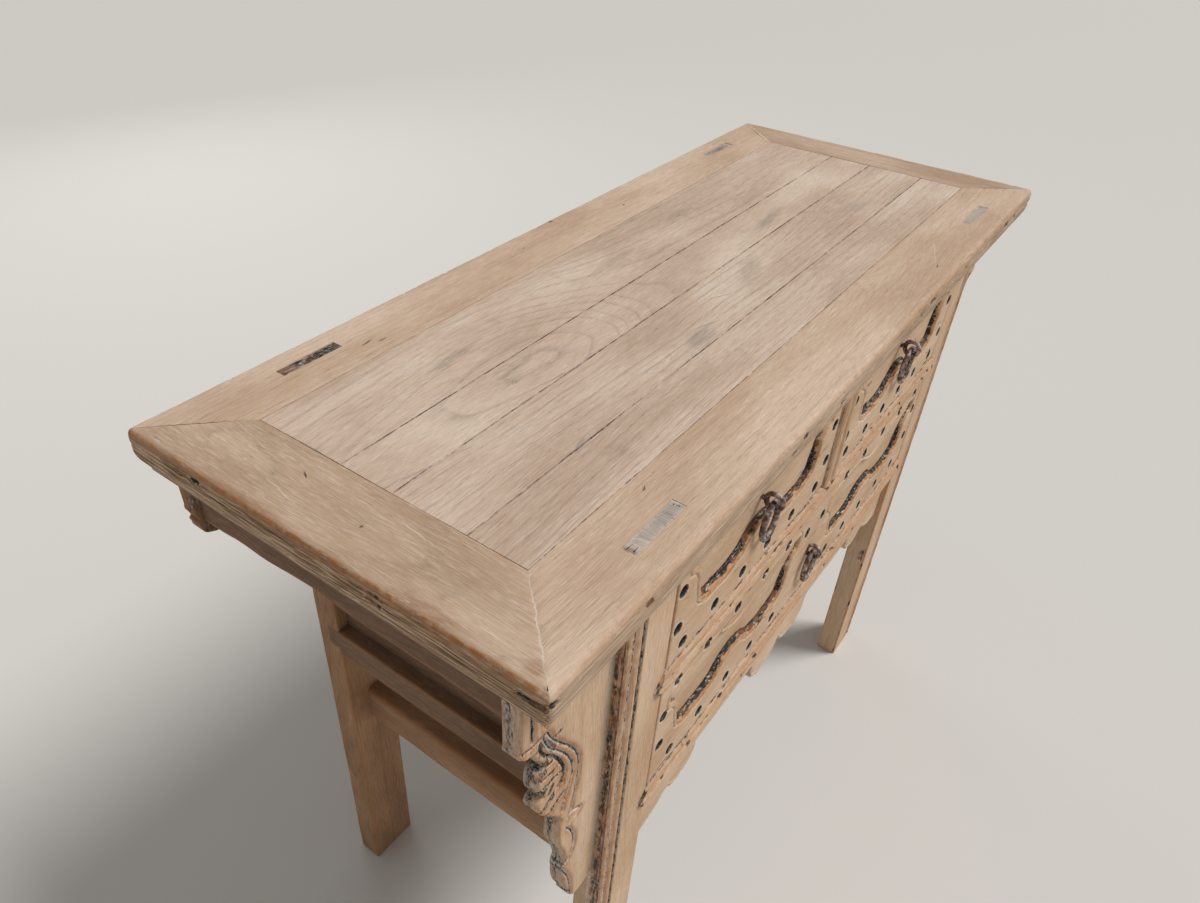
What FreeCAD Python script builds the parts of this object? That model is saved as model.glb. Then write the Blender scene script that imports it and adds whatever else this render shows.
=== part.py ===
"""Altar coffer of weathered elm: a mitred top on four leaning legs, with two drawers side by side
over one wide drawer, carved drawer fronts, carved spandrels under the overhanging ends and drop rings.

Millimetres. +X runs to the right along the front, +Y to the back and +Z up. The origin is on the floor,
under the middle of the top.
"""
import FreeCAD, Part
import math
import os
import Sketcher

os.makedirs("parts", exist_ok=True)
doc = FreeCAD.newDocument("altar_coffer")

# The driving dimensions, one cell each.
SIZES = (
    # top
    ("top_length", 1118),
    ("top_depth", 454),
    ("top_height", 850),
    ("top_thickness", 45),
    ("top_arris", 8),
    ("front_stile_width", 81),
    ("rear_stile_width", 77),
    ("left_end_width", 80),
    ("right_end_width", 65),
    ("mitre_tenon_width", 34),
    ("mitre_tenon_thickness", 14),
    ("mitre_tenon_inset", 24),
    ("mitre_tenon_wall", 12),
    ("mitre_tenon_rise", 14),
    ("board_thickness", 18),
    ("rear_board_width", 101),
    ("second_board_width", 59),
    ("third_board_width", 78),
    ("board_tongue_thickness", 8),
    ("board_tongue_rise", 2),
    ("board_tongue_reach", 10),
    ("board_joint_reach", 5),
    ("batten_width", 34),
    ("batten_key_rise", 5),
    ("batten_key_foot", 22),
    ("batten_key_head", 28),
    ("batten_tenon_width", 22),
    ("batten_tenon_thickness", 12),
    ("batten_tenon_reach", 20),
    # legs
    ("left_leg_inset", 139),
    ("right_leg_inset", 117),
    ("front_leg_setback", 25),
    ("rear_leg_setback", 14),
    ("leg_lean_x", 13),
    ("leg_lean_y", 4),
    ("front_leg_width", 73),
    ("front_leg_thickness", 34),
    ("rear_leg_width", 70),
    ("rear_leg_thickness", 35),
    ("leg_tenon_thickness", 13),
    ("leg_tenon_setback", 4),
    ("leg_outer_bead", 10),
    ("leg_groove", 3),
    ("leg_inner_bead", 11),
    ("leg_fine_groove", 2),
    ("leg_bead_rise", 2.5),
    ("leg_groove_depth", 4),
    # front rails and divider
    ("facade_setback", 24),
    ("rail_proud", 4),
    ("rail_depth", 34),
    ("upper_opening_height", 150),
    ("mid_rail_height", 30),
    ("lower_opening_height", 155),
    ("bottom_rail_height", 30),
    ("rail_housing", 2),
    ("rail_tenon_reach", 36),
    ("rail_tenon_thickness", 12),
    ("rail_tenon_setback", 7),
    ("rail_tenon_shoulder", 5),
    ("rail_point_reach", 15),
    ("rail_point_depth", 13),
    ("bead_groove_width", 4),
    ("bead_groove_depth", 3),
    ("bead_round", 4),
    ("divider_width", 32),
    ("divider_proud", 5),
    ("divider_tenon_width", 16),
    ("divider_tenon_reach", 15),
    ("divider_point_reach", 12),
    # apron
    ("apron_setback", 7),
    ("apron_thickness", 14),
    ("apron_drop", 88),
    ("apron_tongue", 6),
    ("apron_end_reach", 8),
    # back
    ("rear_rail_depth", 28),
    ("rear_rail_tenon_thickness", 10),
    ("rear_rail_tenon_setback", 2),
    ("back_panel_thickness", 10),
    ("back_panel_tongue", 7),
    ("back_panel_setback", 9),
    # ends
    ("side_panel_recess", 15),
    ("side_panel_thickness", 12),
    ("side_panel_tongue", 7),
    ("side_rail_thickness", 30),
    ("side_rail_rise", 27),
    ("side_rail_height", 41),
    ("side_rail_tenon_width", 14),
    ("side_rail_tenon_inset", 8),
    ("side_rail_tenon_reach", 16),
    ("side_rail_tenon_shoulder", 8),
    ("side_rail_round", 3),
    ("stretcher_recess", 28),
    ("stretcher_thickness", 28),
    ("stretcher_drop", 65),
    ("stretcher_height", 57),
    ("stretcher_round", 6),
    # spandrels and end closing boards
    ("spandrel_setback", 12),
    ("spandrel_thickness", 18),
    ("spandrel_drop", 417),
    ("rear_spandrel_drop", 150),
    ("spandrel_end_inset", 18),
    ("spandrel_housing", 4),
    ("closing_board_inset", 24),
    ("closing_board_thickness", 12),
    ("closing_board_drop", 56),
    ("closing_board_tongue", 5),
    # runners
    ("runner_thickness", 20),
    ("runner_bearing", 24),
    ("guide_thickness", 18),
    ("guide_height", 20),
    ("runner_leg_gap", 1),
    ("runner_tenon_width", 16),
    ("runner_tenon_thickness", 10),
    ("runner_tenon_rise", 5),
    ("runner_tenon_reach", 9),
    # drawers
    ("drawer_gap", 1.5),
    ("drawer_head_gap", 3),
    ("drawer_front_thickness", 28),
    ("drawer_side_thickness", 12),
    ("drawer_side_inset", 2),
    ("drawer_side_drop", 14),
    ("drawer_slide_gap", 1),
    ("drawer_seat_gap", 0.3),
    ("drawer_rear_gap", 6),
    ("drawer_bottom_thickness", 8),
    ("drawer_bottom_rise", 6),
    ("drawer_bottom_groove", 6),
    ("drawer_back_thickness", 12),
    ("drawer_back_drop", 4),
    ("drawer_back_housing", 6),
    ("dovetail_reach", 12),
    ("dovetail_root", 20),
    ("dovetail_flare", 4),
    # carving
    ("cartouche_depth", 8),
    ("cartouche_end_margin", 28),
    ("cartouche_middle_margin", 46),
    ("cartouche_foot_margin", 44),
    ("upper_cartouche_head_margin", 17.5),
    ("lower_cartouche_head_margin", 24),
    ("dimple_radius", 6),
    ("dimple_depth", 4),
    # iron drop pulls
    ("eye_radius", 8.5),
    ("eye_wire_radius", 2.75),
    ("eye_standoff", 6.5),
    ("upper_eye_drop", 53),
    ("lower_eye_drop", 78.5),
    ("shank_radius", 3),
    ("shank_end_reach", 3),
    ("clinch_length", 18),
    ("clinch_radius", 2),
    ("ring_wire_radius", 3.25),
    ("ring_half_width", 14.75),
    ("ring_half_height", 22.25),
    ("ring_play", 0.6),
)

sheet = doc.addObject("Spreadsheet::Sheet", "Sizes")
for row, (alias, amount) in enumerate(SIZES, start=1):
    sheet.set("A%d" % row, alias.replace("_", " "))
    sheet.set("B%d" % row, str(amount))
    sheet.setAlias("B%d" % row, alias)
doc.recompute()


class Length:
    """A length: the expression that gives it from the sheet's cells, and its value now."""

    def __init__(self, text, value):
        self.text = text
        self.value = value

    def joined(self, sign, other, value):
        return Length("(%s %s %s)" % (self.text, sign, text_of(other)), value)

    def __add__(self, other):
        return self.joined("+", other, self.value + value_of(other))

    def __sub__(self, other):
        return self.joined("-", other, self.value - value_of(other))

    def __mul__(self, other):
        return self.joined("*", other, self.value * value_of(other))

    def __truediv__(self, other):
        return self.joined("/", other, self.value / value_of(other))

    def __neg__(self):
        return Length("(0 - %s)" % self.text, -self.value)


def text_of(item):
    return item.text if isinstance(item, Length) else repr(item)


def value_of(item):
    return item.value if isinstance(item, Length) else item


class Sheet:
    """The sheet's cells as lengths, by alias."""

    def __getattr__(self, alias):
        return Length("Sizes.%s" % alias, float(sheet.get(alias)))


size = Sheet()
ZERO = Length("0", 0)

# Working on one piece

PLANE_ROLES = {"XY": "XY_Plane", "XZ": "XZ_Plane", "YZ": "YZ_Plane"}


def new_body(label):
    made = doc.addObject("PartDesign::Body", label)
    made.Label = label
    return made


def new_sketch(body, name, plane, place):
    """A sketch on one of the body's own origin planes, moved along that plane's axis to place."""
    sketch = body.newObject("Sketcher::SketchObject", "%s_%s_sketch" % (body.Name, name))
    role = PLANE_ROLES[plane]
    support = [item for item in body.Origin.OriginFeatures if item.Role == role][0]
    sketch.AttachmentSupport = [(support, "")]
    sketch.MapMode = "FlatFace"
    # The XZ plane faces the front, so its offset counts towards -Y.
    offset = -place if plane == "XZ" else place
    sketch.setExpression("AttachmentOffset.Base.z", text_of(offset))
    return sketch


def bind(sketch, kind, places, length):
    """Add a dimension to the sketch and tie it to the sheet."""
    number = sketch.addConstraint(Sketcher.Constraint(kind, *places, value_of(length)))
    if isinstance(length, Length):
        sketch.setExpression("Constraints[%d]" % number, length.text)


def arc_between(start, end, sagitta):
    """The arc from start to end, sagitta off its chord: to the right of the way if it's positive."""
    along = end - start
    half_chord = along.Length / 2
    radius = (half_chord ** 2 + sagitta ** 2) / (2 * abs(sagitta))
    leftward = FreeCAD.Vector(-along.y, along.x, 0)
    leftward.normalize()
    inward = leftward if sagitta > 0 else -leftward
    centre = (start + end) / 2 + inward * (radius - abs(sagitta))
    first, last = (start, end) if sagitta > 0 else (end, start)
    first_angle = math.atan2(first.y - centre.y, first.x - centre.x)
    last_angle = math.atan2(last.y - centre.y, last.x - centre.x)
    if last_angle <= first_angle:
        last_angle += 2 * math.pi
    circle = Part.Circle(centre, FreeCAD.Vector(0, 0, 1), radius)
    return Part.ArcOfCircle(circle, first_angle, last_angle)


def draw_outline(sketch, corners):
    """Close an outline through the corners. A corner's third entry is the sagitta of the arc to it."""
    vectors = [FreeCAD.Vector(value_of(corner[0]), value_of(corner[1]), 0) for corner in corners]
    ends = []
    for number, corner in enumerate(corners):
        start, end = vectors[number - 1], vectors[number]
        sagitta = corner[2] if len(corner) > 2 else None
        if sagitta is None:
            sketch.addGeometry(Part.LineSegment(start, end), False)
            ends.append((1, 2))
        else:
            sketch.addGeometry(arc_between(start, end, value_of(sagitta)), False)
            ends.append((1, 2) if value_of(sagitta) > 0 else (2, 1))
    count = len(corners)
    for number in range(count):
        following = (number + 1) % count
        places = (number, ends[number][1], following, ends[following][0])
        sketch.addConstraint(Sketcher.Constraint("Coincident", *places))
    for number, corner in enumerate(corners):
        point = (-1, 1, number, ends[number][1])
        bind(sketch, "DistanceX", point, corner[0])
        bind(sketch, "DistanceY", point, corner[1])
    for number, corner in enumerate(corners):
        if len(corner) > 2:
            before = corners[number - 1]
            run = corner[0] - before[0]
            rise = corner[1] - before[1]
            bow = corner[2] if value_of(corner[2]) > 0 else -corner[2]
            bind(sketch, "Radius", (number,), ((run * run + rise * rise) / 4 + bow * bow) / (bow * 2))


def rectangle(low_x, high_x, low_y, high_y):
    return [(low_x, low_y), (high_x, low_y), (high_x, high_y), (low_x, high_y)]


def draw_circles(sketch, centres, radius):
    for number, (across, up) in enumerate(centres):
        centre = FreeCAD.Vector(value_of(across), value_of(up), 0)
        sketch.addGeometry(Part.Circle(centre, FreeCAD.Vector(0, 0, 1), value_of(radius)), False)
        bind(sketch, "DistanceX", (-1, 1, number, 3), across)
        bind(sketch, "DistanceY", (-1, 1, number, 3), up)
        bind(sketch, "Radius", (number,), radius)


def pad(body, name, plane, low, high, corners, lean=None):
    """Wood from low to high along the plane's axis. A lean is the shift along X and Y for each rise."""
    sketch = new_sketch(body, name, plane, low)
    draw_outline(sketch, corners)
    made = body.newObject("PartDesign::Pad", "%s_%s" % (body.Name, name))
    made.Profile = sketch
    made.Reversed = plane == "XZ"
    made.setExpression("Length", text_of(high - low))
    if lean:
        made.UseCustomVector = True
        made.AlongSketchNormal = True
        made.setExpression("Direction.x", text_of(lean[0]))
        made.setExpression("Direction.y", text_of(lean[1]))
    sketch.Visibility = False
    return made


def pocket(body, name, plane, low, high, corners=(), circles=(), radius=None):
    """Wood cut away from low to high along the plane's axis."""
    sketch = new_sketch(body, name, plane, low)
    if corners:
        draw_outline(sketch, corners)
    if circles:
        draw_circles(sketch, circles, radius)
    made = body.newObject("PartDesign::Pocket", "%s_%s" % (body.Name, name))
    made.Profile = sketch
    made.Reversed = plane != "XZ"
    made.setExpression("Length", text_of(high - low))
    sketch.Visibility = False
    return made


def round_edges(body, name, radius, wanted):
    """Round the edges of the body for which wanted(edge) holds."""
    doc.recompute()
    before = body.Tip
    edges_before = enumerate(before.Shape.Edges, start=1)
    names = ["Edge%d" % number for number, edge in edges_before if wanted(edge)]
    made = body.newObject("PartDesign::Fillet", "%s_%s" % (body.Name, name))
    made.Base = (before, names)
    made.setExpression("Radius", radius.text)
    return made


def runs_along(edge, axis):
    """True for a straight edge along the axis 0, 1 or 2."""
    if len(edge.Vertexes) < 2:
        return False
    step = edge.Vertexes[1].Point - edge.Vertexes[0].Point
    straight = edge.Curve.TypeId == "Part::GeomLine"
    return straight and abs(abs(step[axis]) - step.Length) < 1e-6 * step.Length


def lies_at(edge, axis, length):
    return abs(edge.Vertexes[0].Point[axis] - value_of(length)) < 1e-5


PIECES = {}


def finish(label, blank, let_in=()):
    """Keep the piece under its label, with room cut in it for the pieces that are let into it."""
    if not let_in:
        blank.Label = label
        PIECES[label] = blank
        return blank
    blank.Label = label + "_blank"
    tool = let_in[0]
    if len(let_in) > 1:
        tool = doc.addObject("Part::Compound", label + "_joints")
        tool.Links = list(let_in)
    made = doc.addObject("Part::Cut", label)
    made.Base = blank
    made.Tool = tool
    made.Label = label
    PIECES[label] = made
    return made


# Levels and planes that several pieces share

half_length = size.top_length / 2
half_depth = size.top_depth / 2
underside = size.top_height - size.top_thickness
facade_y = size.facade_setback - half_depth

panel_left = size.left_end_width - half_length
panel_right = half_length - size.right_end_width
panel_front = size.front_stile_width - half_depth
panel_rear = half_depth - size.rear_stile_width

left_leg_top = size.left_leg_inset - half_length
right_leg_top = half_length - size.right_leg_inset
front_leg_top = size.front_leg_setback - half_depth
rear_leg_top = half_depth - size.rear_leg_setback

lean_x_rate = size.leg_lean_x / underside
lean_y_rate = size.leg_lean_y / underside


def left_outer(level):
    """The left legs' outer face at a level. The legs stand further out the lower they go."""
    return left_leg_top - lean_x_rate * (underside - level)


def right_outer(level):
    return right_leg_top + lean_x_rate * (underside - level)


def left_inner(level):
    return left_outer(level) + size.front_leg_width


def right_inner(level):
    return right_outer(level) - size.front_leg_width


def front_face(level):
    return front_leg_top - lean_y_rate * (underside - level)


def rear_face(level):
    return rear_leg_top + lean_y_rate * (underside - level)


def front_leg_back(level):
    """The side of a front leg that faces the rear leg."""
    return front_face(level) + size.front_leg_thickness


def rear_leg_front(level):
    return rear_face(level) - size.rear_leg_thickness


# The rails' levels, from the underside of the top down.
mid_rail_head = underside - size.upper_opening_height
mid_rail_foot = mid_rail_head - size.mid_rail_height
bottom_rail_head = mid_rail_foot - size.lower_opening_height
bottom_rail_foot = bottom_rail_head - size.bottom_rail_height
side_rail_foot = bottom_rail_foot + size.side_rail_rise
side_rail_head = side_rail_foot + size.side_rail_height
stretcher_head = bottom_rail_foot - size.stretcher_drop
stretcher_foot = stretcher_head - size.stretcher_height

opening_left = left_inner(mid_rail_head)
opening_right = right_inner(mid_rail_head)
facade_centre = (opening_left + opening_right) / 2
divider_left = facade_centre - size.divider_width / 2
divider_right = facade_centre + size.divider_width / 2


class Side:
    """One end of the coffer: its name, its legs' outer and inner faces, and the sense of inwards."""

    def __init__(self, name, outer, inner, inward):
        self.name = name
        self.outer = outer
        self.inner = inner
        self.inward = inward

    def in_from(self, place, distance):
        return place + distance * self.inward

    def span(self, place, distance):
        """The low and high X of a strip that starts at place and runs inwards by distance."""
        far = self.in_from(place, distance)
        return (place, far) if self.inward > 0 else (far, place)

    def lean(self, y_rate=0):
        return (lean_x_rate * self.inward, y_rate if value_of(y_rate) else ZERO)


LEFT = Side("left", left_outer, left_inner, 1)
RIGHT = Side("right", right_outer, right_inner, -1)
SIDES = (LEFT, RIGHT)


# Legs

def front_leg_section(side):
    """Front leg in plan at the floor: two beads and two grooves by the outer corner, then a field."""
    front = front_face(0)
    edge = side.outer(0)
    hollow = front + size.leg_groove_depth
    shoulder = front + size.leg_bead_rise
    outer_end = side.in_from(edge, size.leg_outer_bead)
    second_start = side.in_from(outer_end, size.leg_groove)
    second_end = side.in_from(second_start, size.leg_inner_bead)
    field_start = side.in_from(second_end, size.leg_fine_groove)
    far = side.in_from(edge, size.front_leg_width)
    bow = size.leg_bead_rise * side.inward
    points = [
        (edge, front + size.front_leg_thickness),
        (edge, shoulder),
        (outer_end, shoulder, bow),
        (outer_end, hollow),
        (second_start, hollow),
        (second_start, shoulder),
        (second_end, shoulder, bow),
        (second_end, hollow),
        (field_start, hollow),
        (field_start, front),
        (far, front),
        (far, front + size.front_leg_thickness),
    ]
    return points


def leg_blank(side, row):
    """A leg with the through tenon that shows on the top, before its mortises."""
    body = new_body("%s_%s_leg_blank" % (row, side.name))
    if row == "front":
        pad(body, "post", "XY", ZERO, underside, front_leg_section(side), side.lean(lean_y_rate))
        low_y = front_leg_top + size.leg_tenon_setback
        low_x, high_x = side.span(side.outer(underside), size.front_leg_width)
    else:
        low_x, high_x = side.span(side.outer(0), size.rear_leg_width)
        section = rectangle(low_x, high_x, rear_leg_front(0), rear_face(0))
        pad(body, "post", "XY", ZERO, underside, section, side.lean(-lean_y_rate))
        low_y = rear_leg_top - (size.rear_leg_thickness + size.leg_tenon_thickness) / 2
        low_x, high_x = side.span(side.outer(underside), size.rear_leg_width)
    tenon = rectangle(low_x, high_x, low_y, low_y + size.leg_tenon_thickness)
    pad(body, "tenon", "XY", underside, size.top_height, tenon)
    return body


# Front rails, divider and apron

def front_rail_blank(name, foot, head):
    """A rail with a double bead. Its pointed ends lap onto the legs' faces, and tenons go into them."""
    body = new_body(name + "_blank")
    middle = (foot + head) / 2
    front = facade_y - size.rail_proud
    left_end = left_inner(middle) - size.rail_housing
    right_end = right_inner(middle) + size.rail_housing
    bar = rectangle(left_end, right_end, foot, head)
    pad(body, "bar", "XZ", front, front + size.rail_depth, bar)
    point_depth = front + size.rail_point_depth
    left_point = [(left_end, head), (left_end - size.rail_point_reach, middle), (left_end, foot)]
    pad(body, "left_point", "XZ", front, point_depth, left_point)
    right_point = [(right_end, foot), (right_end + size.rail_point_reach, middle), (right_end, head)]
    pad(body, "right_point", "XZ", front, point_depth, right_point)
    tenon_front = facade_y + size.rail_tenon_setback
    tenon_span = rectangle(left_end - size.rail_tenon_reach, right_end + size.rail_tenon_reach,
                           foot + size.rail_tenon_shoulder, head - size.rail_tenon_shoulder)
    pad(body, "tenons", "XZ", tenon_front, tenon_front + size.rail_tenon_thickness, tenon_span)
    half_groove = size.bead_groove_width / 2
    groove = rectangle(front, front + size.bead_groove_depth,
                       middle - half_groove, middle + half_groove)
    reach = size.rail_point_reach
    pocket(body, "bead_groove", "YZ", left_end - reach, right_end + reach, groove)
    round_edges(body, "bead_round", size.bead_round,
                lambda edge: runs_along(edge, 0) and lies_at(edge, 1, front)
                and (lies_at(edge, 2, foot) or lies_at(edge, 2, head)))
    return body


def divider_blank():
    """The upright between the upper drawers, its foot a pointed tongue on the rail's face."""
    body = new_body("drawer_divider")
    front = facade_y - size.divider_proud
    rear = facade_y - size.rail_proud + size.rail_depth
    post = rectangle(divider_left, divider_right, mid_rail_head, underside)
    pad(body, "post", "XZ", front, rear, post)
    tip = mid_rail_head - size.divider_point_reach
    point = [(divider_left, mid_rail_head), (facade_centre, tip), (divider_right, mid_rail_head)]
    pad(body, "point", "XZ", front, front + size.rail_point_depth, point)
    half_tenon = size.divider_tenon_width / 2
    tenon_front = facade_y + size.rail_tenon_setback
    tenons = rectangle(facade_centre - half_tenon, facade_centre + half_tenon,
                       mid_rail_head - size.divider_tenon_reach, underside + size.divider_tenon_reach)
    pad(body, "tenons", "XZ", tenon_front, tenon_front + size.rail_tenon_thickness, tenons)
    half_groove = size.bead_groove_width / 2
    groove = rectangle(facade_centre - half_groove, facade_centre + half_groove, front,
                       front + size.bead_groove_depth)
    pocket(body, "bead_groove", "XY", tip, underside, groove)
    round_edges(body, "bead_round", size.bead_round,
                lambda edge: runs_along(edge, 2) and lies_at(edge, 1, front)
                and (lies_at(edge, 0, divider_left) or lies_at(edge, 0, divider_right)))
    return body


# Lower edge of the apron from its middle to the right leg: share of half its width, share of its drop
# that the edge stands below the rail, and the sagitta as a share of the drop.
APRON_EDGE_SHARES = (
    (0.11, 1.00, -0.10),
    (0.17, 0.98, -0.06),
    (0.22, 0.66, -0.08),
    (0.24, 0.56, 0.03),
    (0.61, 0.56, 0.0),
    (0.64, 0.86, -0.05),
    (0.76, 0.88, -0.06),
    (0.80, 0.80, 0.04),
    (0.93, 1.00, -0.06),
    (1.00, 0.98, -0.02),
)
APRON_MIDDLE_SHARE = 0.74


def apron_blank():
    """A thin board under the bottom rail, with lobes at its middle and by the legs."""
    body = new_body("front_apron")
    front = facade_y + size.apron_setback
    head = bottom_rail_foot
    level = head - size.apron_drop
    left_end = left_inner(level) - size.apron_end_reach
    right_end = right_inner(level) + size.apron_end_reach
    centre = (left_end + right_end) / 2
    half = (right_end - left_end) / 2
    right_half = []
    for across, down, bow in APRON_EDGE_SHARES:
        place = (centre + half * across, head - size.apron_drop * down)
        right_half.append(place + (size.apron_drop * -bow,) if bow else place)
    left_half = []
    backward = list(reversed(APRON_EDGE_SHARES))
    for number, (across, down, bow) in enumerate(backward):
        place = (centre - half * across, head - size.apron_drop * down)
        # An arc belongs to the corner that it reaches, so on the way back it is its neighbour's.
        previous_bow = backward[number - 1][2] if number else 0
        left_half.append(place + (size.apron_drop * -previous_bow,) if previous_bow else place)
    rise = (centre, head - size.apron_drop * APRON_MIDDLE_SHARE, size.apron_drop * -backward[-1][2])
    ends = [(right_end, head + size.apron_tongue), (left_end, head + size.apron_tongue)]
    pad(body, "board", "XZ", front, front + size.apron_thickness, left_half + [rise] + right_half + ends)
    return body


# Rear rails and back panel

def rear_rail_blank(name, foot, head, rear):
    body = new_body(name + "_blank")
    middle = (foot + head) / 2
    left_end = left_outer(middle) + size.rear_leg_width - size.rail_housing
    right_end = right_outer(middle) - size.rear_leg_width + size.rail_housing
    front = rear - size.rear_rail_depth
    pad(body, "bar", "XZ", front, rear, rectangle(left_end, right_end, foot, head))
    tenon_rear = rear - size.rear_rail_tenon_setback
    tenon_span = rectangle(left_end - size.rail_tenon_reach, right_end + size.rail_tenon_reach,
                           foot + size.rail_tenon_shoulder, head - size.rail_tenon_shoulder)
    pad(body, "tenons", "XZ", tenon_rear - size.rear_rail_tenon_thickness, tenon_rear, tenon_span)
    return body


back_panel_rear = rear_leg_top - size.back_panel_setback
back_panel_front = back_panel_rear - size.back_panel_thickness


def back_panel_blank():
    body = new_body("back_panel")
    tongue = size.back_panel_tongue
    left_edge = left_outer(underside) + size.rear_leg_width - tongue
    right_edge = right_outer(underside) - size.rear_leg_width + tongue
    # The panel's edges follow the lean of the legs.
    foot = bottom_rail_head - tongue
    head = underside + tongue
    left_foot = left_outer(foot) + size.rear_leg_width - tongue
    right_foot = right_outer(foot) - size.rear_leg_width + tongue
    outline = [(left_foot, foot), (right_foot, foot), (right_edge, head), (left_edge, head)]
    pad(body, "board", "XZ", back_panel_front, back_panel_rear, outline)
    return body


# Ends: side rail, panel above it and the lower stretcher

def end_bar_blank(side, name, foot, head, recess, thickness, rounding):
    """A bar from front leg to rear leg, leaning with them, with a tenon at each end."""
    body = new_body("%s_%s_blank" % (side.name, name))
    middle = (foot + head) / 2
    low_x, high_x = side.span(side.in_from(side.outer(foot), recess), thickness)
    low_y = front_leg_back(middle) - size.rail_housing
    high_y = rear_leg_front(middle) + size.rail_housing
    pad(body, "bar", "XY", foot, head, rectangle(low_x, high_x, low_y, high_y), side.lean())
    shoulder = size.side_rail_tenon_shoulder
    tenon_foot = foot + shoulder
    tenon_face = side.in_from(side.outer(tenon_foot), recess + size.side_rail_tenon_inset)
    low_x, high_x = side.span(tenon_face, size.side_rail_tenon_width)
    reach = size.side_rail_tenon_reach
    tenons = rectangle(low_x, high_x, low_y - reach, high_y + reach)
    pad(body, "tenons", "XY", tenon_foot, head - shoulder, tenons, side.lean())
    level_face = {foot.value: side.in_from(side.outer(foot), recess),
                  head.value: side.in_from(side.outer(head), recess)}
    round_edges(body, "rounding", rounding,
                lambda edge: runs_along(edge, 1) and any(
                    lies_at(edge, 2, level) and lies_at(edge, 0, face)
                    for level, face in level_face.items()))
    return body


def side_panel_blank(side):
    body = new_body("%s_side_panel" % side.name)
    tongue = size.side_panel_tongue
    foot = side_rail_head - tongue
    outer_face = side.in_from(side.outer(foot), size.side_panel_recess)
    low_x, high_x = side.span(outer_face, size.side_panel_thickness)
    low_y = front_leg_back(underside) - tongue
    high_y = rear_leg_front(underside) + tongue
    section = rectangle(low_x, high_x, low_y, high_y)
    pad(body, "board", "XY", foot, underside + tongue, section, side.lean())
    return body


# Top

def board_edges():
    """The boards' long edges, from the rear stile to the front stile."""
    first = panel_rear - size.rear_board_width
    second = first - size.second_board_width
    third = second - size.third_board_width
    return [panel_rear, first, second, third, panel_front]


def top_board_blank(number, edges):
    """A board of the panel. Its tongues go into the frame, and one goes into the next board."""
    body = new_body("top_board_%d_blank" % (number + 1))
    foot = size.top_height - size.board_thickness
    rear, front = edges[number], edges[number + 1]
    pad(body, "board", "XY", foot, size.top_height, rectangle(panel_left, panel_right, front, rear))
    reach = size.board_tongue_reach
    rear_reach = rear + reach if number == 0 else rear
    front_reach = front - (reach if number == len(edges) - 2 else size.board_joint_reach)
    tongue_foot = foot + size.board_tongue_rise
    tongue = rectangle(panel_left - reach, panel_right + reach, front_reach, rear_reach)
    pad(body, "tongue", "XY", tongue_foot, tongue_foot + size.board_tongue_thickness, tongue)
    return body


def batten_blank(name, centre):
    """A bar under the boards, keyed into them and tenoned into both stiles."""
    body = new_body(name + "_blank")
    head = size.top_height - size.board_thickness
    half = size.batten_width / 2
    section = rectangle(centre - half, centre + half, underside, head)
    pad(body, "bar", "XZ", panel_front, panel_rear, section)
    half_foot = size.batten_key_foot / 2
    half_head = size.batten_key_head / 2
    key_head = head + size.batten_key_rise
    key = [(centre - half_foot, head), (centre + half_foot, head),
           (centre + half_head, key_head), (centre - half_head, key_head)]
    pad(body, "key", "XZ", panel_front, panel_rear, key)
    half_tenon = size.batten_tenon_width / 2
    middle = (underside + head) / 2
    half_rise = size.batten_tenon_thickness / 2
    tenon = rectangle(centre - half_tenon, centre + half_tenon, middle - half_rise, middle + half_rise)
    reach = size.batten_tenon_reach
    pad(body, "tenons", "XZ", panel_front - reach, panel_rear + reach, tenon)
    return body


def stile_blank(name, outer_y, inner_y):
    """A long member of the frame, mitred at both ends, with its outer edges worn round."""
    body = new_body(name + "_blank")
    outline = [(-half_length, outer_y), (panel_left, inner_y),
               (panel_right, inner_y), (half_length, outer_y)]
    pad(body, "bar", "XY", underside, size.top_height, outline)
    round_edges(body, "arris", size.top_arris,
                lambda edge: runs_along(edge, 0) and lies_at(edge, 1, outer_y))
    return body


def end_member_blank(side, outer_x, inner_x):
    """A short member of the frame, with a tenon at each mitre that goes into the stile."""
    body = new_body("top_%s_end_blank" % side.name)
    outline = [(outer_x, -half_depth), (inner_x, panel_front),
               (inner_x, panel_rear), (outer_x, half_depth)]
    pad(body, "bar", "XY", underside, size.top_height, outline)
    tenon_foot = underside + size.mitre_tenon_rise
    tenon_edge = side.in_from(outer_x, size.mitre_tenon_inset)
    low_x, high_x = side.span(tenon_edge, size.mitre_tenon_width)
    reach = half_depth - size.mitre_tenon_wall
    tenons = rectangle(low_x, high_x, -reach, reach)
    pad(body, "tenons", "XY", tenon_foot, tenon_foot + size.mitre_tenon_thickness, tenons)
    round_edges(body, "arris", size.top_arris,
                lambda edge: runs_along(edge, 1) and lies_at(edge, 0, outer_x))
    return body


# Spandrels and closing boards under the overhanging ends

# Free edge of a front spandrel from the top's end down to the leg: distance from the leg as a share of
# its width at the top, height above its tip as a share of its drop, and the sagitta as a share of its
# width.
SPANDREL_EDGE_SHARES = (
    (1.000, 0.832, 0.0),
    (0.975, 0.808, -0.020),
    (0.900, 0.796, -0.020),
    (0.727, 0.693, 0.0),
    (0.800, 0.671, -0.030),
    (0.735, 0.597, -0.030),
    (0.810, 0.580, -0.020),
    (0.610, 0.480, -0.030),
    (0.530, 0.434, 0.0),
    (0.555, 0.400, -0.015),
    (0.504, 0.302, -0.030),
    (0.438, 0.223, 0.0),
    (0.463, 0.173, -0.020),
    (0.364, 0.041, -0.030),
    (0.314, 0.005, -0.020),
    (0.207, 0.000, -0.010),
    (0.083, 0.010, 0.0),
)

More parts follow.
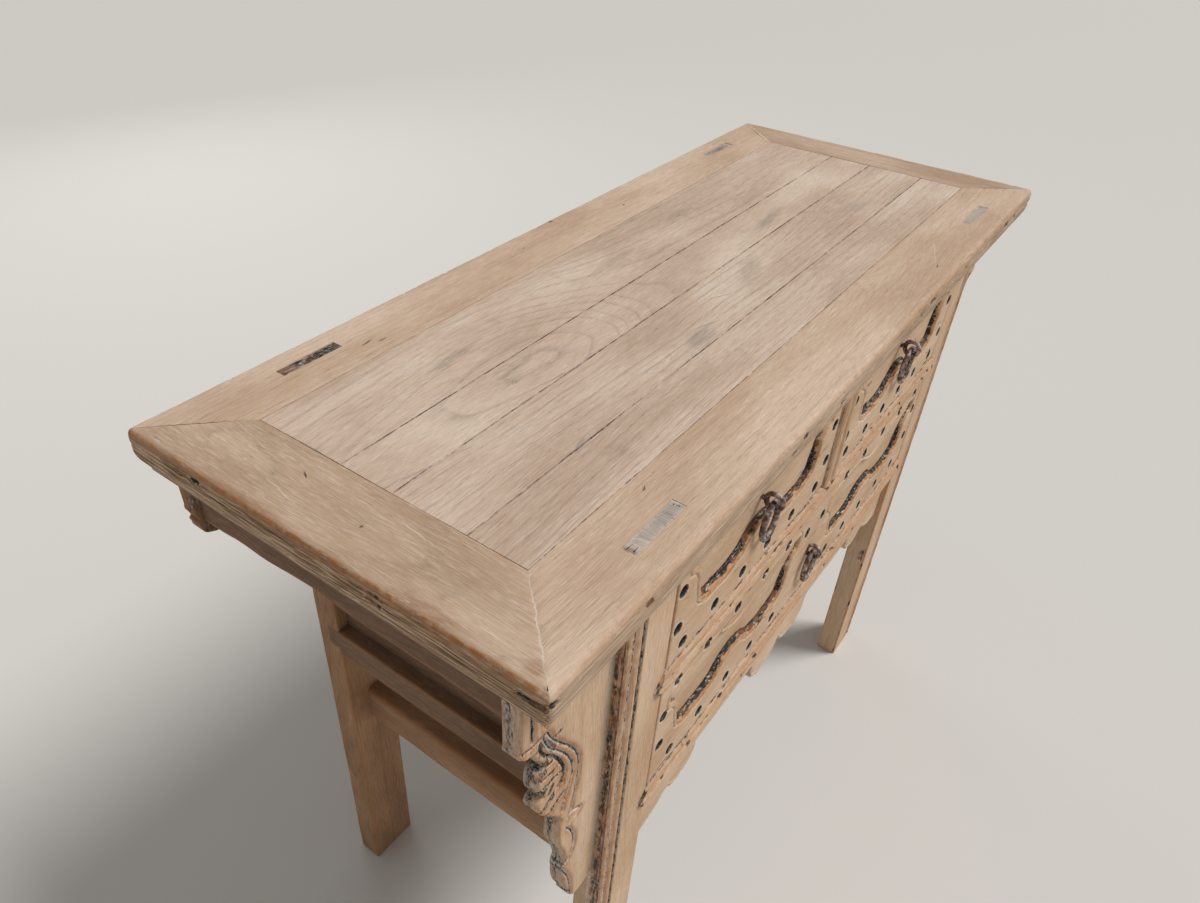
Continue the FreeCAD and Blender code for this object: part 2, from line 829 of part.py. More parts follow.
# The same for a rear spandrel, a low bracket with a scroll at its end.
REAR_SPANDREL_EDGE_SHARES = (
    (1.000, 0.760, 0.0),
    (0.990, 0.700, -0.010),
    (0.975, 0.665, 0.0),
    (0.985, 0.620, -0.015),
    (0.930, 0.555, -0.020),
    (0.800, 0.535, -0.010),
    (0.740, 0.585, 0.0),
    (0.450, 0.480, 0.020),
    (0.240, 0.200, 0.030),
    (0.100, 0.000, 0.0),
)


def spandrel_blank(side, row):
    """A carved board that fills the corner between a leg and the overhanging end of the top."""
    body = new_body("%s_%s_spandrel_blank" % (row, side.name))
    shares, drop = SPANDREL_EDGE_SHARES, size.spandrel_drop
    if row == "rear":
        shares, drop = REAR_SPANDREL_EDGE_SHARES, size.rear_spandrel_drop
    end = side.in_from(side.outer(underside), -overhang(side))
    width = overhang(side)
    foot = underside - drop
    corners = [(end, underside)]
    for out, up, bow in shares:
        place = (side.in_from(side.outer(underside), width * -out), foot + drop * up)
        corners.append(place + (width * -bow * side.inward,) if bow else place)
    lowest = foot + drop * shares[-1][1]
    housing = size.spandrel_housing
    corners.append((side.in_from(side.outer(lowest), housing), lowest))
    corners.append((side.in_from(side.outer(underside), housing), underside))
    if row == "front":
        low_y = front_leg_top + size.spandrel_setback
    else:
        low_y = rear_leg_top - size.spandrel_setback - size.spandrel_thickness
    pad(body, "board", "XZ", low_y, low_y + size.spandrel_thickness, corners)
    return body


def overhang(side):
    """How far a spandrel reaches out from its leg under the end of the top."""
    inset = size.left_leg_inset if side is LEFT else size.right_leg_inset
    return inset - size.spandrel_end_inset


def closing_board_blank(side):
    """The board across the end, between the spandrels, that closes the hollow under the overhang."""
    body = new_body("%s_closing_board" % side.name)
    outer = -half_length if side is LEFT else half_length
    outer_face = side.in_from(outer, size.closing_board_inset)
    low_x, high_x = side.span(outer_face, size.closing_board_thickness)
    tongue = size.closing_board_tongue
    front = front_leg_top + size.spandrel_setback + size.spandrel_thickness - tongue
    rear = rear_leg_top - size.spandrel_setback - size.spandrel_thickness + tongue
    foot = underside - size.closing_board_drop
    pad(body, "board", "XY", foot, underside + tongue, rectangle(low_x, high_x, front, rear))
    return body


# Drawers

class Drawer:
    """The space of one drawer: its name, the facade's edges beside it at a level, and its levels."""

    def __init__(self, name, left_edge, right_edge, seat, head, eye_drop):
        self.name = name
        self.left_edge = left_edge
        self.right_edge = right_edge
        self.seat = seat
        self.foot = seat + size.drawer_gap
        self.head = head
        self.centre = (left_edge(seat) + right_edge(seat)) / 2
        self.side_left = left_edge(head) + size.drawer_gap + size.drawer_side_inset
        self.side_right = right_edge(head) - size.drawer_gap - size.drawer_side_inset
        self.eye_z = head - eye_drop

    def bottom_foot(self):
        return self.seat + size.drawer_seat_gap + size.drawer_bottom_rise


LEFT_DRAWER = Drawer("left_drawer", left_inner, lambda level: divider_left, mid_rail_head,
                     underside - size.drawer_head_gap, size.upper_eye_drop)
RIGHT_DRAWER = Drawer("right_drawer", lambda level: divider_right, right_inner, mid_rail_head,
                      underside - size.drawer_head_gap, size.upper_eye_drop)
LOWER_DRAWER = Drawer("lower_drawer", left_inner, right_inner, bottom_rail_head,
                      mid_rail_foot - size.drawer_gap, size.lower_eye_drop)
DRAWERS = (LEFT_DRAWER, RIGHT_DRAWER, LOWER_DRAWER)

drawer_rear = back_panel_front - size.rear_rail_depth - size.drawer_rear_gap
front_inside = facade_y + size.drawer_front_thickness

# Right half of a cartouche's outline from the middle of its foot to the middle of its head: share of
# its half width, share of its height, and the sagitta as a share of its height.
CARTOUCHE_SHARES = (
    (0.00, 0.24, 0.0),
    (0.26, 0.06, -0.05),
    (0.60, 0.00, 0.04),
    (0.84, 0.12, 0.05),
    (0.88, 0.46, 0.0),
    (0.90, 0.60, -0.02),
    (1.00, 0.74, -0.03),
    (1.00, 0.96, 0.02),
    (0.96, 1.00, 0.02),
    (0.34, 1.00, 0.03),
    (0.00, 0.78, -0.05),
)

# Dimples bored beside the cartouches: share of half the front's width, share of the front's height.
UPPER_DIMPLE_SHARES = (
    (0.16, 0.105),
    (0.49, 0.105),
    (0.84, 0.105),
    (0.925, 0.31),
    (0.925, 0.64),
)
LOWER_DIMPLE_SHARES = (
    (0.06, 0.76),
    (0.23, 0.92),
    (0.39, 0.92),
    (0.565, 0.92),
    (0.74, 0.92),
    (0.90, 0.92),
    (0.22, 0.106),
    (0.38, 0.106),
    (0.54, 0.106),
    (0.71, 0.106),
    (0.88, 0.106),
    (0.955, 0.36),
    (0.955, 0.675),
)


def cartouche(centre, half, foot, tall):
    """A closed outline with a cusp in its foot and its head and ends that flare at the top."""
    corners = []
    for across, up, bow in CARTOUCHE_SHARES:
        place = (centre + half * across, foot + tall * up)
        corners.append(place + (tall * bow,) if bow else place)
    inner = CARTOUCHE_SHARES[1:-1]
    for number in range(len(inner) - 1, -1, -1):
        across, up, bow = inner[number]
        # An arc belongs to the corner that it reaches, so on the way back it is its neighbour's.
        bow = CARTOUCHE_SHARES[number + 2][2]
        place = (centre - half * across, foot + tall * up)
        corners.append(place + (tall * bow,) if bow else place)
    first_bow = CARTOUCHE_SHARES[1][2]
    corners[0] = corners[0] + (tall * first_bow,)
    return corners


def drawer_front_blank(drawer):
    body = new_body(drawer.name + "_front_blank")
    gap = size.drawer_gap
    corners = [(drawer.left_edge(drawer.foot) + gap, drawer.foot),
               (drawer.right_edge(drawer.foot) - gap, drawer.foot),
               (drawer.right_edge(drawer.head) - gap, drawer.head),
               (drawer.left_edge(drawer.head) + gap, drawer.head)]
    pad(body, "board", "XZ", facade_y, front_inside, corners)
    wide = drawer.right_edge(drawer.foot) - drawer.left_edge(drawer.foot)
    tall = drawer.head - drawer.foot
    if drawer is LOWER_DRAWER:
        middle = size.cartouche_middle_margin
        half = (wide / 2 - size.cartouche_end_margin - middle) / 2
        places = [drawer.centre - middle - half, drawer.centre + middle + half]
        head_margin = size.lower_cartouche_head_margin
        shares = LOWER_DIMPLE_SHARES
    else:
        half = wide / 2 - size.cartouche_end_margin
        places = [drawer.centre]
        head_margin = size.upper_cartouche_head_margin
        shares = UPPER_DIMPLE_SHARES
    foot = drawer.foot + size.cartouche_foot_margin
    for number, place in enumerate(places, start=1):
        pocket(body, "cartouche_%d" % number, "XZ", facade_y, facade_y + size.cartouche_depth,
               cartouche(place, half, foot, drawer.head - head_margin - foot))
    centres = []
    for across, up in shares:
        for sense in (-1, 1):
            centres.append((drawer.centre + wide / 2 * (across * sense), drawer.foot + tall * up))
    pocket(body, "dimples", "XZ", facade_y, facade_y + size.dimple_depth, circles=centres,
           radius=size.dimple_radius)
    return body


DOVETAIL_PLACE_SHARES = (0.20, 0.50, 0.80)


def drawer_side_blank(drawer, name, low_x):
    """A drawer side with dovetails at its front end, which go into the back of the drawer front."""
    body = new_body("%s_%s_side_blank" % (drawer.name, name))
    foot = drawer.seat + size.drawer_seat_gap
    head = drawer.head - size.drawer_side_drop
    tall = head - foot
    half_root = size.dovetail_root / 2
    half_tip = half_root + size.dovetail_flare
    tip = front_inside - size.dovetail_reach
    corners = [(drawer_rear, foot), (drawer_rear, head), (front_inside, head)]
    for share in reversed(DOVETAIL_PLACE_SHARES):
        middle = foot + tall * share
        corners.append((front_inside, middle + half_root))
        corners.append((tip, middle + half_tip))
        corners.append((tip, middle - half_tip))
        corners.append((front_inside, middle - half_root))
    corners.append((front_inside, foot))
    corners.reverse()
    pad(body, "board", "YZ", low_x, low_x + size.drawer_side_thickness, corners)
    return body


def drawer_bottom_blank(drawer):
    body = new_body(drawer.name + "_bottom")
    foot = drawer.bottom_foot()
    low_x = drawer.side_left + size.drawer_side_thickness - size.drawer_bottom_groove
    high_x = drawer.side_right - size.drawer_side_thickness + size.drawer_bottom_groove
    board = rectangle(low_x, high_x, front_inside - size.drawer_bottom_groove, drawer_rear)
    pad(body, "board", "XY", foot, foot + size.drawer_bottom_thickness, board)
    return body


def drawer_back_blank(drawer):
    body = new_body(drawer.name + "_back")
    foot = drawer.bottom_foot() + size.drawer_bottom_thickness
    head = drawer.head - size.drawer_side_drop - size.drawer_back_drop
    housing = size.drawer_back_housing
    low_x = drawer.side_left + size.drawer_side_thickness - housing
    high_x = drawer.side_right - size.drawer_side_thickness + housing
    pad(body, "board", "XZ", drawer_rear - size.drawer_back_thickness, drawer_rear,
        rectangle(low_x, high_x, foot, head))
    return body


# Iron drop pulls

eye_y = facade_y - size.eye_standoff
pivot_drop = size.eye_radius - size.eye_wire_radius - size.ring_wire_radius - size.ring_play


def place_at(item, across, deep, up, turn=None):
    """Put an object by the expressions of its place, after its turn."""
    if turn:
        item.Placement = FreeCAD.Placement(FreeCAD.Vector(), turn)
    item.setExpression("Placement.Base.x", text_of(across))
    item.setExpression("Placement.Base.y", text_of(deep))
    item.setExpression("Placement.Base.z", text_of(up))


def staple(drawer):
    """A split pin of iron wire: the eye, the shank through the drawer front and the clinched end."""
    about_y = FreeCAD.Rotation(FreeCAD.Vector(0, 1, 0), 90)
    about_x = FreeCAD.Rotation(FreeCAD.Vector(1, 0, 0), -90)
    eye = doc.addObject("Part::Torus", drawer.name + "_eye")
    eye.setExpression("Radius1", size.eye_radius.text)
    eye.setExpression("Radius2", size.eye_wire_radius.text)
    place_at(eye, drawer.centre, eye_y, drawer.eye_z, about_y)
    shank = doc.addObject("Part::Cylinder", drawer.name + "_shank")
    shank_start = eye_y + size.eye_radius
    shank_end = front_inside + size.shank_end_reach
    shank.setExpression("Radius", size.shank_radius.text)
    shank.setExpression("Height", (shank_end - shank_start).text)
    place_at(shank, drawer.centre, shank_start, drawer.eye_z, about_x)
    clinch = doc.addObject("Part::Cylinder", drawer.name + "_clinch")
    clinch.setExpression("Radius", size.clinch_radius.text)
    clinch.setExpression("Height", size.clinch_length.text)
    clinch_foot = drawer.eye_z - size.clinch_length / 2
    place_at(clinch, drawer.centre, front_inside + size.clinch_radius, clinch_foot)
    made = doc.addObject("Part::MultiFuse", drawer.name + "_staple")
    made.Shapes = [eye, shank, clinch]
    return made


# How far a quarter circle stands off its chord, as a share of its radius.
QUARTER_BOW_SHARE = 1 - math.sqrt(1 / 2)


def drop_ring(drawer):
    """A drop ring of iron wire in its own frame, with the middle of its upper wire at the origin."""
    body = new_body(drawer.name + "_ring")
    half_wide = size.ring_half_width
    tall = size.ring_half_height * 2
    bow = half_wide * QUARTER_BOW_SHARE
    path = new_sketch(body, "path", "XZ", ZERO)
    draw_outline(path, [(ZERO, ZERO, bow), (-half_wide, -half_wide, bow),
                        (-half_wide, half_wide - tall), (ZERO, -tall, bow),
                        (half_wide, half_wide - tall, bow), (half_wide, -half_wide)])
    wire = new_sketch(body, "wire", "YZ", ZERO)
    draw_circles(wire, [(ZERO, ZERO)], size.ring_wire_radius)
    made = body.newObject("PartDesign::AdditivePipe", body.Name + "_pipe")
    made.Profile = wire
    made.Spine = (path, [""])
    place_at(body, drawer.centre, eye_y, drawer.eye_z - pivot_drop)
    return body


# Runners

inner_front = front_leg_back(underside) + size.runner_leg_gap
inner_rear = rear_leg_front(underside) - size.runner_leg_gap


def runner_blank(name, corners, seat, tenon_centre):
    """A runner under the drawers' edges with its guide, tenoned into a front rail and a rear rail."""
    body = new_body(name)
    pad(body, "bar", "XZ", inner_front, inner_rear, corners)
    half = size.runner_tenon_width / 2
    foot = seat - size.runner_thickness + size.runner_tenon_rise
    head = foot + size.runner_tenon_thickness
    tenon = rectangle(tenon_centre - half, tenon_centre + half, foot, head)
    front_rail_back = facade_y - size.rail_proud + size.rail_depth
    rear_rail_front = back_panel_front - size.rear_rail_depth
    reach = size.runner_tenon_reach
    pad(body, "front_tenon", "XZ", front_rail_back - reach, inner_front, tenon)
    rear_end = rear_rail_front + size.rear_rail_depth - size.runner_leg_gap
    pad(body, "rear_tenon", "XZ", inner_rear, rear_end, tenon)
    return body


def side_runner_blank(side, drawer, name):
    """A runner of L section: the drawer side stands on its ledge, beside its guide."""
    if side is LEFT:
        face = drawer.side_left - size.drawer_slide_gap
    else:
        face = drawer.side_right + size.drawer_slide_gap
    back = side.in_from(face, -size.guide_thickness)
    ledge = side.in_from(face, size.runner_bearing)
    seat = drawer.seat
    foot = seat - size.runner_thickness
    guide_head = seat + size.guide_height
    corners = [(back, foot), (ledge, foot), (ledge, seat),
               (face, seat), (face, guide_head), (back, guide_head)]
    if side is RIGHT:
        corners.reverse()
    return runner_blank(name, corners, seat, (face + ledge) / 2)


def centre_runner_blank():
    """A runner of T section between the two upper drawers."""
    seat = mid_rail_head
    low_face = LEFT_DRAWER.side_right + size.drawer_slide_gap
    high_face = RIGHT_DRAWER.side_left - size.drawer_slide_gap
    low = low_face - size.runner_bearing
    high = high_face + size.runner_bearing
    foot = seat - size.runner_thickness
    guide_head = seat + size.guide_height
    corners = [(low, foot), (high, foot), (high, seat), (high_face, seat), (high_face, guide_head),
               (low_face, guide_head), (low_face, seat), (low, seat)]
    return runner_blank("upper_runner_centre", corners, seat, facade_centre)


# Blanks of every piece

legs = {(row, side.name): leg_blank(side, row) for row in ("front", "rear") for side in SIDES}
mid_rail = front_rail_blank("front_mid_rail", mid_rail_foot, mid_rail_head)
bottom_rail = front_rail_blank("front_bottom_rail", bottom_rail_foot, bottom_rail_head)
divider = divider_blank()
apron = apron_blank()
rear_mid_rail = rear_rail_blank("rear_mid_rail", mid_rail_foot, mid_rail_head, back_panel_front)
rear_bottom_rail = rear_rail_blank("rear_bottom_rail", bottom_rail_foot, bottom_rail_head,
                                   back_panel_rear + size.rear_rail_tenon_setback)
back_panel = back_panel_blank()
side_rails = {}
stretchers = {}
for side in SIDES:
    side_rails[side.name] = end_bar_blank(side, "side_rail", side_rail_foot, side_rail_head,
                                          ZERO, size.side_rail_thickness, size.side_rail_round)
    stretchers[side.name] = end_bar_blank(side, "stretcher", stretcher_foot, stretcher_head,
                                          size.stretcher_recess, size.stretcher_thickness,
                                          size.stretcher_round)
side_panels = {side.name: side_panel_blank(side) for side in SIDES}
spandrels = {(row, side.name): spandrel_blank(side, row)
             for row in ("front", "rear") for side in SIDES}
closing_boards = {side.name: closing_board_blank(side) for side in SIDES}
edges = board_edges()
boards = [top_board_blank(number, edges) for number in range(len(edges) - 1)]
half_panel = size.side_panel_thickness / 2
left_batten_x = left_outer(underside) + size.side_panel_recess + half_panel
right_batten_x = right_outer(underside) - size.side_panel_recess - half_panel
battens = {"left": batten_blank("left_batten", left_batten_x),
           "centre": batten_blank("centre_batten", (left_batten_x + right_batten_x) / 2),
           "right": batten_blank("right_batten", right_batten_x)}
front_stile = stile_blank("top_front_stile", -half_depth, panel_front)
rear_stile = stile_blank("top_rear_stile", half_depth, panel_rear)
end_members = {"left": end_member_blank(LEFT, -half_length, panel_left),
               "right": end_member_blank(RIGHT, half_length, panel_right)}
runners = {"upper_left": side_runner_blank(LEFT, LEFT_DRAWER, "upper_runner_left"),
           "upper_centre": centre_runner_blank(),
           "upper_right": side_runner_blank(RIGHT, RIGHT_DRAWER, "upper_runner_right"),
           "lower_left": side_runner_blank(LEFT, LOWER_DRAWER, "lower_runner_left"),
           "lower_right": side_runner_blank(RIGHT, LOWER_DRAWER, "lower_runner_right")}

# Assembly: each piece is cut for the tenons, tongues and edges that it takes

upper_runners = [runners["upper_left"], runners["upper_centre"], runners["upper_right"]]
lower_runners = [runners["lower_left"], runners["lower_right"]]
all_battens = list(battens.values())
all_end_boards = list(side_panels.values()) + list(closing_boards.values())

for side in SIDES:
    ends = [side_panels[side.name], side_rails[side.name], stretchers[side.name]]
    finish("front_%s_leg" % side.name, legs["front", side.name],
           [mid_rail, bottom_rail, apron, spandrels["front", side.name]] + ends)
    finish("rear_%s_leg" % side.name, legs["rear", side.name],
           [rear_mid_rail, rear_bottom_rail, back_panel, spandrels["rear", side.name]] + ends)
    finish("%s_side_rail" % side.name, side_rails[side.name], [side_panels[side.name]])
    finish("%s_stretcher" % side.name, stretchers[side.name])
    finish("%s_side_panel" % side.name, side_panels[side.name])
    finish("%s_closing_board" % side.name, closing_boards[side.name])
    for row in ("front", "rear"):
        label = "%s_%s_spandrel" % (row, side.name)
        finish(label, spandrels[row, side.name], [closing_boards[side.name]])
    finish("top_%s_end" % side.name, end_members[side.name], boards + [closing_boards[side.name]])
    finish("%s_batten" % side.name, battens[side.name], [side_panels[side.name]])

finish("centre_batten", battens["centre"])
finish("front_mid_rail", mid_rail, [divider] + upper_runners)
finish("front_bottom_rail", bottom_rail, [apron] + lower_runners)
finish("drawer_divider", divider)
finish("front_apron", apron)
finish("rear_mid_rail", rear_mid_rail, upper_runners)
finish("rear_bottom_rail", rear_bottom_rail, [back_panel] + lower_runners)
finish("back_panel", back_panel)
for runner in runners.values():
    finish(runner.Label, runner)
finish("top_front_stile", front_stile,
       [legs["front", "left"], legs["front", "right"], divider, boards[-1]]
       + list(end_members.values()) + all_battens + all_end_boards)
finish("top_rear_stile", rear_stile,
       [legs["rear", "left"], legs["rear", "right"], back_panel, boards[0]]
       + list(end_members.values()) + all_battens + all_end_boards)
for number, board in enumerate(boards):
    before = [boards[number - 1]] if number else []
    finish("top_board_%d" % (number + 1), board, before + all_battens)

for drawer in DRAWERS:
    pin = staple(drawer)
    bottom = drawer_bottom_blank(drawer)
    back = drawer_back_blank(drawer)
    left_side = drawer_side_blank(drawer, "left", drawer.side_left)
    right_side = drawer_side_blank(drawer, "right", drawer.side_right - size.drawer_side_thickness)
    finish(drawer.name + "_front", drawer_front_blank(drawer), [left_side, right_side, bottom, pin])
    finish(drawer.name + "_left_side", left_side, [bottom, back])
    finish(drawer.name + "_right_side", right_side, [bottom, back])
    finish(drawer.name + "_bottom", bottom)
    finish(drawer.name + "_back", back)
    finish(drawer.name + "_staple", pin)
    finish(drawer.name + "_ring", drop_ring(drawer))

# Check every object, then write the pieces

doc.recompute()
for item in doc.Objects:
    if "Invalid" in item.State or "Error" in item.State:
        raise RuntimeError("%s did not recompute: %s" % (item.Label, item.State))
    if item.TypeId == "PartDesign::Pocket" and item.Shape.Volume >= item.BaseFeature.Shape.Volume:
        raise RuntimeError("%s cuts nothing" % item.Label)
for label, piece in PIECES.items():
    if piece.Shape.isNull() or not piece.Shape.isValid():
        raise RuntimeError("%s has no valid shape" % label)
for label, piece in PIECES.items():
    piece.Shape.exportStep("parts/%s.step" % label)
print("%d pieces written" % len(PIECES))
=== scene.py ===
import math
from functools import partial

import bmesh
import bpy
import numpy as np
from mathutils import Matrix, Vector, geometry, kdtree, noise


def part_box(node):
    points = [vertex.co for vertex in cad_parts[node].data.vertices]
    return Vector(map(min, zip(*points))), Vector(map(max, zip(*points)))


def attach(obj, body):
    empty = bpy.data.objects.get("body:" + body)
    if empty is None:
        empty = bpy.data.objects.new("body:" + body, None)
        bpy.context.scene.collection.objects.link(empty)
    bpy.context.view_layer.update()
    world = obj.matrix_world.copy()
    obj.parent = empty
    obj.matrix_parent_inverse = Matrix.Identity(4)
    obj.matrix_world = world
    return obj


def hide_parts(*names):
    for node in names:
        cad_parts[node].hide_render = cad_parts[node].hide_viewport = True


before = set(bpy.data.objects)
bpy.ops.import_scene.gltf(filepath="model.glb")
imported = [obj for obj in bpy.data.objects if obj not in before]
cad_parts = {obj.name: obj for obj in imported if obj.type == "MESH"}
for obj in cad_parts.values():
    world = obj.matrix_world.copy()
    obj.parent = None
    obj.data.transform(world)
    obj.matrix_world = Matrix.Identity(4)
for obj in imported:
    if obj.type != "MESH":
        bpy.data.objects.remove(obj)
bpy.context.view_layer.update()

# All the sizes below are in mm: x to the right, y to the back, z up from the floor.
MM = 0.001
TABLE_TOP, UNDERSIDE = 850, 805
# The top's edges and those of the boards in its frame: low and high x, low and high y
EDGES = ((-559, 559), (-227, 227))
PANEL = ((-479, 494), (-146, 150))
SEAMS = (150, 49, -10, -88, -146)
# The legs' outer sides where they meet the top, and the way inwards from them
LEGS = {"left": (-420, 1), "right": (442, -1)}
LEG_WIDTH = 73
OVERHANGS = {"left": 121, "right": 99}
LEAN_ACROSS = 13 / UNDERSIDE
LEAN_DEEP = 4 / UNDERSIDE
# What the wood has gone through at each point: rubbed, crusted (on some parts a painted shade), limed and
# weathered, each from 0 up
WEAR = ("worn", "crust_and_shade", "lime", "bare")
AXES = "xyz"


def leg_side(side, z, inward=0):
    """x of a leg's outer side at a height, or of what lies inward of it."""
    shoulder, way = LEGS[side]
    return shoulder - way * LEAN_ACROSS * (UNDERSIDE - z) + way * inward


# Bench tools: each works on one object at a time, as by hand

def only(obj):
    """Selects one object and nothing else."""
    bpy.ops.object.select_all(action="DESELECT")
    obj.select_set(True)
    bpy.context.view_layer.objects.active = obj


def open_mesh(obj, kind="VERT", action="SELECT"):
    only(obj)
    bpy.ops.object.mode_set(mode="EDIT")
    bpy.ops.mesh.select_mode(type=kind)
    bpy.ops.mesh.select_all(action=action)


def extrude(travel):
    bpy.ops.mesh.extrude_region_move(TRANSFORM_OT_translate={"value": Vector(travel) * MM})


def turn_outward():
    bpy.ops.mesh.select_all(action="SELECT")
    bpy.ops.mesh.normals_make_consistent(inside=False)


def close_mesh():
    bpy.ops.object.mode_set(mode="OBJECT")


def draw(name, points, faces):
    """A new mesh from points in mm."""
    mesh = bpy.data.meshes.new(name)
    mesh.from_pydata([[value * MM for value in point] for point in points], [], faces)
    obj = bpy.data.objects.new(name, mesh)
    bpy.context.scene.collection.objects.link(obj)
    only(obj)
    return obj


def read(items, name, width=3):
    values = np.empty(len(items) * width)
    items.foreach_get(name, values)
    return values.reshape(-1, width)


def places(obj):
    return read(obj.data.vertices, "co") / MM


def put(obj, where):
    obj.data.vertices.foreach_set("co", (where * MM).ravel())
    obj.data.update()


def outward(obj):
    """The direction that the surface faces at each point."""
    return read(obj.data.vertex_normals, "vector")


def swell(obj, amount):
    """Moves the surface out by an amount in mm at each point."""
    put(obj, places(obj) + outward(obj) * amount[:, None])


def mark(obj, name, values):
    """Keeps a value or a vector at each point, for the materials."""
    values = np.asarray(values, np.float32)
    whole = values.ndim == 2
    kept = obj.data.attributes.get(name)
    if kept is None:
        kept = obj.data.attributes.new(name, "FLOAT_VECTOR" if whole else "FLOAT", "POINT")
    kept.data.foreach_set("vector" if whole else "value", values.ravel())


def marked(obj, name):
    return read(obj.data.attributes[name].data, "value", 1).ravel()


def lumps(where, span, turn=0.0):
    """Smooth noise between about -1 and 1 at each place; span is the size of its lumps in mm."""
    return np.array([noise.noise(point) for point in where / np.array(span) + turn * 17.3])


def smooth(values, low, high):
    """Rises smoothly from 0 at low to 1 at high, or falls where high is the lower."""
    share = np.clip((values - low) / (high - low), 0, 1)
    return share * share * (3 - 2 * share)


def ridge(values, centre, width, power=2):
    """1 at the centre, and next to nothing two widths away."""
    return np.exp(-((values - centre) / width) ** power)


def rounding(rim, radius):
    """How far a rounded edge lies back, as a share of its radius, at a distance from its rim."""
    return 1 - np.sqrt(1 - np.clip(1 - rim / radius, 0, 1) ** 2)


def bowed(corners, step):
    """A close line through corners of u, v and how far the stretch to it bows to the right of the way."""
    line = []
    for start, corner in zip(corners[:-1], corners[1:]):
        begin, chord = np.array(start[:2], float), np.subtract(corner[:2], start[:2])
        bow = corner[2] if len(corner) > 2 else 0.0
        length = np.hypot(*chord)
        count = max(1, round(length / step))
        share = np.arange(count)[:, None] / count
        right = np.array((chord[1], -chord[0])) / length
        line.append(begin + chord * share + right * (4 * bow * share * (1 - share)))
    return np.concatenate([*line, np.array([corners[-1][:2]], float)])


def bar(name, section, travel, step):
    """A stick: its section drawn as one face, extruded by travel and divided about every step mm.

    A section point is x, y, z and then its wear."""
    obj = draw(name, [point[:3] for point in section], [range(len(section))])
    for number, kind in enumerate(WEAR, start=3):
        mark(obj, kind, [point[number] if len(point) > number else 0 for point in section])
    open_mesh(obj)
    extrude(travel)
    turn_outward()
    run = Vector(travel).normalized()
    cuts = max(1, round(math.sqrt(Vector(travel).length / step)) - 1)
    bpy.ops.mesh.select_mode(type="EDGE")
    for _ in range(2):
        bpy.ops.mesh.select_all(action="DESELECT")
        mesh = bmesh.from_edit_mesh(obj.data)
        for edge in mesh.edges:
            way = edge.verts[1].co - edge.verts[0].co
            edge.select_set(abs(way.normalized().dot(run)) > 0.9999)
        bmesh.update_edit_mesh(obj.data)
        bpy.ops.mesh.subdivide(number_cuts=cuts)
    close_mesh()
    return obj


def cut(obj, place, facing):
    """Saws off what lies on the side that facing points to, and closes the cut."""
    open_mesh(obj)
    bpy.ops.mesh.bisect(plane_co=Vector(place) * MM, plane_no=Vector(facing).normalized(),
                        use_fill=True, clear_outer=True)
    close_mesh()


def with_modifier(obj, kind, **settings):
    only(obj)
    modifier = obj.modifiers.new(kind.title(), kind)
    for key, value in settings.items():
        setattr(modifier, key, value)
    bpy.ops.object.modifier_apply(modifier=modifier.name)


def dress(obj, material, order="", heart=None, node=None, body="carcass", angle=40):
    """Shades a piece smooth and gives it its wood and its place among the moving bodies.

    order names the axes along the grain, across it and through the board, and heart is the point
    of the log's pith that the year rings go round."""
    only(obj)
    bpy.ops.object.shade_smooth_by_angle(angle=math.radians(angle))
    if order:
        mark(obj, "grain", (places(obj) - heart)[:, [AXES.index(letter) for letter in order]])
    obj.data.materials.clear()
    obj.data.materials.append(material)
    if node:
        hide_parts(node)
    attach(obj, body)


# Materials

def paint(code):
    """An sRGB hex colour as linear light."""
    parts = [int(code[at:at + 2], 16) / 255 for at in (1, 3, 5)]
    return [part / 12.92 if part <= 0.04045 else ((part + 0.055) / 1.055) ** 2.4 for part in parts] + [1]


def add(tree, kind, *inputs, stops=(), out=0, **more):
    """Adds a node and gives one of its outputs.

    kind is its type, with its operation after a dot. inputs go to its sockets in order, and more to
    sockets where the name has a capital and otherwise to settings. stops are a ramp's places and
    colours."""
    kind, _, operation = kind.partition(".")
    node = tree.nodes.new("ShaderNode" + kind)
    keys = range(len(inputs))
    if kind == "Mix":
        node.data_type, keys, out = "RGBA", (0, 6, 7), 2
    if operation:
        node.operation = operation
    values = dict(zip(keys, inputs))
    for key, value in more.items():
        if key[0].isupper():
            values[key.replace("_", " ")] = value
        else:
            setattr(node, key, value)
    for key, value in values.items():
        if isinstance(value, bpy.types.NodeSocket):
            tree.links.new(value, node.inputs[key])
        else:
            node.inputs[key].default_value = paint(value) if isinstance(value, str) else value
    if stops:
        ramp = node.color_ramp.elements
        ramp[0].position, ramp[1].position = stops[0][0], stops[-1][0]
        for place, _ in stops[1:-1]:
            ramp.new(place)
        for number, (_, tone) in enumerate(stops):
            ramp[number].color = paint(tone) if isinstance(tone, str) else (tone, tone, tone, 1)
    return node.outputs[out] if len(node.outputs) else node


def blank(holder):
    """Empties a material's or a world's nodes, and gives what adds new ones there."""
    holder.use_nodes = True
    holder.node_tree.nodes.clear()
    return partial(add, holder.node_tree)


def blot(node, place, spots):
    """A mask of ovals, each x, y, half length, half width in mm and turn in degrees."""
    mask = 0
    for x, y, long, wide, turn in spots:
        local = node("Mapping", place, (x, y, 0), (0, 0, math.radians(turn)), (long, wide, 1),
                     vector_type="TEXTURE")
        near = node("MapRange", node("VectorMath.LENGTH", local, out=1), 1, 0.45)
        mask = node("Math.MAXIMUM", near, mask)
    return mask


